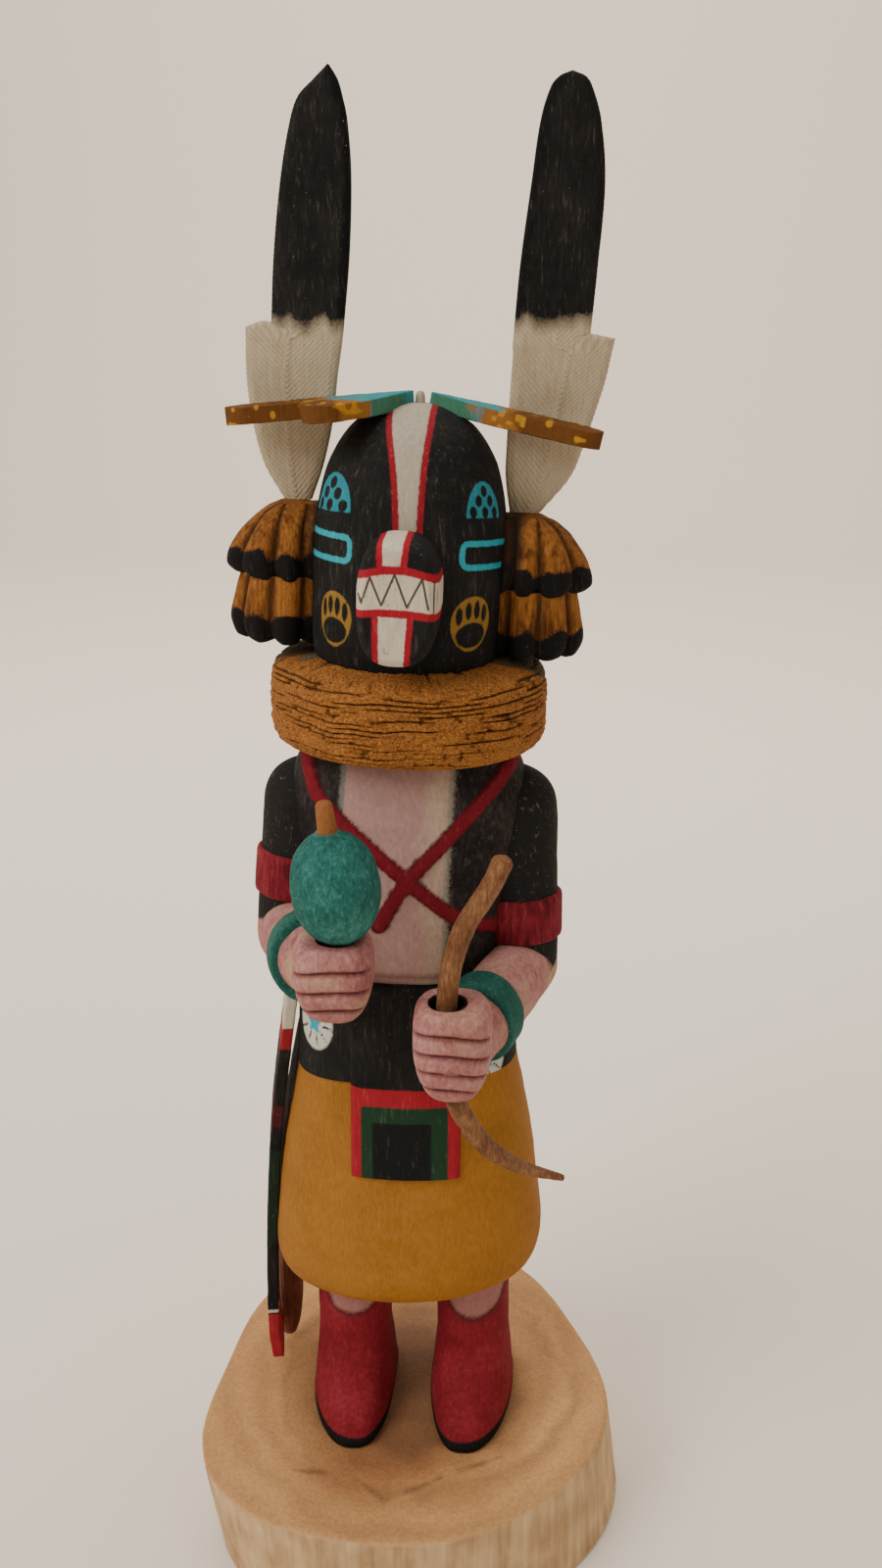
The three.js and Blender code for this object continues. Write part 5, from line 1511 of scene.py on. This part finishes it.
@dataclass
class SideSash:
    """Thin board painted in bands, hanging at the right hip."""

    thickness: float = 2.6
    width: float = 12.0
    turn: float = 9.0
    rows: tuple = ((8.03, 32.41), (13.2, 33.0), (20.9, 33.15), (43.45, 32.41), (61.93, 31.08), (74.47, 29.81),
                   (88.55, 27.82), (99, 26.28), (106.04, 25.31))

    def build(self) -> bpy.types.Object:
        """Make the board with softened edges and its bands."""
        rows = [list(row) for row in self.rows]
        values = rows_at(rows, np.linspace(8.05, 106.02, 200))
        near, far = np.linspace(-0.48, 0.48, 24), np.linspace(-0.4, 0.4, 6)
        section = np.array([
            *[(0.5, t) for t in near], *[(t, 0.5) for t in far[::-1]],
            *[(-0.5, t) for t in near[::-1]], *[(t, -0.5) for t in far],
        ])
        c, s = math.cos(math.radians(self.turn)), math.sin(math.radians(self.turn))
        a, b = section[:, 0] * self.thickness, section[:, 1] * self.width
        x = -values[:, 1:2] + a * c - b * s
        y = b * c + a * s + 0 * x
        z = FLOOR + values[:, :1] + 0 * x
        shell = Shell(np.stack([x, y, z], -1), 0)
        bands = {
            "white": (118.3, 127.0), "red": (113.4, 118.3), "maroon": (94.2, 99.6), "green": (64.0, 88.0),
            "line": (45.4, 46.2), "tip": (20.0, 45.0),
        }
        for key, (low, high) in bands.items():
            shell.marks[key] = np.abs(z - (low + high) / 2) - (high - low) / 2
        shell.raise_by(0.08 * speckle(shell.grid, 2.0, 19) - 0.08)
        finish = PaintedWood("banded sash paint", BLACK, BLACK_DEEP, BLACK_WORN, (
            Paint("white", WHITE, 0.4, 0.3),
            Paint("red", RED, 0.4, 0.3),
            Paint("maroon", "#4a1d20", 0.8, 0.4),
            Paint("green", "#1f2c1f", 1.5, 0.6),
            Paint("line", WHITE, 0.3, 0.2),
            Paint("tip", "#a0262f", 0.4, 0.3),
        ), fibre=0.3)
        return finished("sash_board", [shell], [finish.material()], "side_sash")


@dataclass
class FoxPelt:
    """Carved pelt hanging behind the sash, its fur cut as long shallow grooves."""

    thickness: float = 6.4
    width: float = 10.0

    def build(self) -> bpy.types.Object:
        """Make the hanging pelt, clear of the kilt and the sash."""
        rows = [
            [2.42, 31.6, 9.5, 0.3], [6.05, 31.4, 10, 0.7], [13.97, 31.2, 11, 0.95], [28.05, 31.0, 12.4, 1],
            [50.05, 30.2, 14.4, 1], [74.8, 26.6, 15.2, 0.9], [91.96, 23.1, 15, 0.75], [105.05, 20.7, 14, 0.6],
        ]
        values = rows_at(rows, stops(rows, 150))
        turn = turns(72)
        full = values[:, 3:4]
        groove = 0.06 * (1 - np.abs(np.sin(8 * turn + 0.2 * values[:, :1]))) * (full > 0.3)
        x = -values[:, 1:2] + self.thickness / 2 * np.sqrt(full) * np.cos(turn) * (1 - groove)
        y = values[:, 2:3] + self.width / 2 * full * np.sin(turn) * (1 - groove)
        z = FLOOR + values[:, :1] + 0 * x
        y = np.maximum(y, 6.35)
        shell = Shell(np.stack([x, y, z], -1), 0)
        shell.marks["pale"] = 1.0 - 3 * speckle(shell.grid, (3, 3, 12), 20)
        # Painted shadow: near-black over the front of the pelt above 40 mm, where it hangs in the gap between
        # the sash and the kilt.
        front = (y - values[:, 2:3] + 0.5) * 3
        shell.marks["dark"] = np.maximum(FLOOR + 40 - z, front) + 3 * speckle(shell.grid, 4.0, 22)
        shell.raise_by(0.12 * speckle(shell.grid, (1.2, 1.2, 6), 21) - 0.15)
        finish = PaintedWood("mauve-brown pelt paint", "#744635", "#553023", "#8d5e46", (
            # dark is painted shadow over the front of the upper pelt
            Paint("pale", "#94695a", 1.6, 0.6, 0.6), Paint("dark", "#1d1715", 5.0, 0.8),
        ), fibre=0.3, relief=0.08)
        return finished("pelt", [shell], [finish.material()], "fox_pelt")


@dataclass
class Studio:
    """Pale floor, soft lights and the camera at the photograph's angle."""

    eye: tuple = (20.56, -261.19, 263.42)
    ahead: tuple = (-0.0543, 0.9417, -0.3322)
    focal: float = 31.95
    lamps: tuple = (
        ("key", (-0.75, -0.6, 0.95), (0, 0, 0.14), 0.7, 11.0, (1.0, 0.97, 0.92)),
        ("fill", (0.75, -0.7, 0.5), (0, 0, 0.14), 0.9, 1.0, (1.0, 0.97, 0.94)),
        ("top", (0.0, 0.2, 1.1), (0, 0, 0.14), 0.7, 4.0, (1.0, 0.97, 0.93)),
        ("wall", (0, 0.35, 1.3), (0, 1.35, 0.95), 1.2, 23.0, (1.0, 0.91, 0.81)),
    )

    def build(self) -> None:
        """Set up the camera first, then the floor and lights."""
        scene = bpy.context.scene
        camera = bpy.data.cameras.new("camera")
        camera.lens = self.focal
        camera.clip_start = 0.01
        holder = bpy.data.objects.new("camera", camera)
        scene.collection.objects.link(holder)
        look = Vector(self.ahead).to_track_quat("-Z", "Y")
        holder.matrix_world = Matrix.Translation(Vector(self.eye) * MM) @ look.to_matrix().to_4x4()
        scene.camera = holder
        self.floor()
        for name, place, aim, size, power, tint in self.lamps:
            light = bpy.data.lights.new(name, "AREA")
            light.energy, light.size, light.color = power, size, tint
            lamp = bpy.data.objects.new(name, light)
            look = (Vector(aim) - Vector(place)).to_track_quat("-Z", "Y")
            lamp.matrix_world = Matrix.Translation(place) @ look.to_matrix().to_4x4()
            scene.collection.objects.link(lamp)
        world = bpy.data.worlds.new("studio")
        world.use_nodes = True
        back = world.node_tree.nodes["Background"]
        back.inputs[0].default_value = linear("#ece2d6")
        back.inputs[1].default_value = 0.62
        scene.world = world

    def floor(self) -> None:
        """Pale floor that curves up behind the doll into a wall."""
        profile = [(-3.0, 0.0), (1.2, 0.0)]
        bend = np.linspace(0.1, math.pi / 2, 12)
        profile += [(1.2 + 0.6 * math.sin(a), 0.6 - 0.6 * math.cos(a)) for a in bend]
        profile.append((1.8, 4.0))
        places = [(x, y, z - 0.0002) for y, z in profile for x in (-4.0, 4.0)]
        faces = [(2 * k, 2 * k + 1, 2 * k + 3, 2 * k + 2) for k in range(len(profile) - 1)]
        mesh = bpy.data.meshes.new("sweep")
        mesh.from_pydata(places, [], faces)
        mesh.polygons.foreach_set("use_smooth", [True] * len(faces))
        mesh.materials.append(self.paper())
        sweep = bpy.data.objects.new("sweep", mesh)
        bpy.context.scene.collection.objects.link(sweep)

    def paper(self) -> bpy.types.Material:
        """Matte studio paper."""
        made = bpy.data.materials.new("matte studio paper")
        made.use_nodes = True
        shader = made.node_tree.nodes["Principled BSDF"]
        shader.inputs["Base Color"].default_value = linear("#efe6da")
        shader.inputs["Roughness"].default_value = 0.9
        return made


def main() -> None:
    """Build every piece in order and report each one."""
    logging.basicConfig(level=logging.INFO, format="%(message)s")
    Studio().build()
    pieces = [
        Base(),
        Figure(),
        Snout(),
        *[EarTuft(side) for side in Side],
        *[TallFeather(side) for side in Side],
        CrownFeather("crown_feather_right", 35.3, 186, 3.0, 13),
        CrownFeather("crown_feather_front", 24.5, 220, 1.7, 12),
        CrownFeather("crown_feather_left", 33.6, -7, 7.1, 10),
        Rattle(),
        Bow(),
        SideSash(),
        FoxPelt(),
    ]
    for piece in pieces:
        made = piece.build()
        LOG.info("built %s", made.name)


if __name__ == "__main__":
    main()
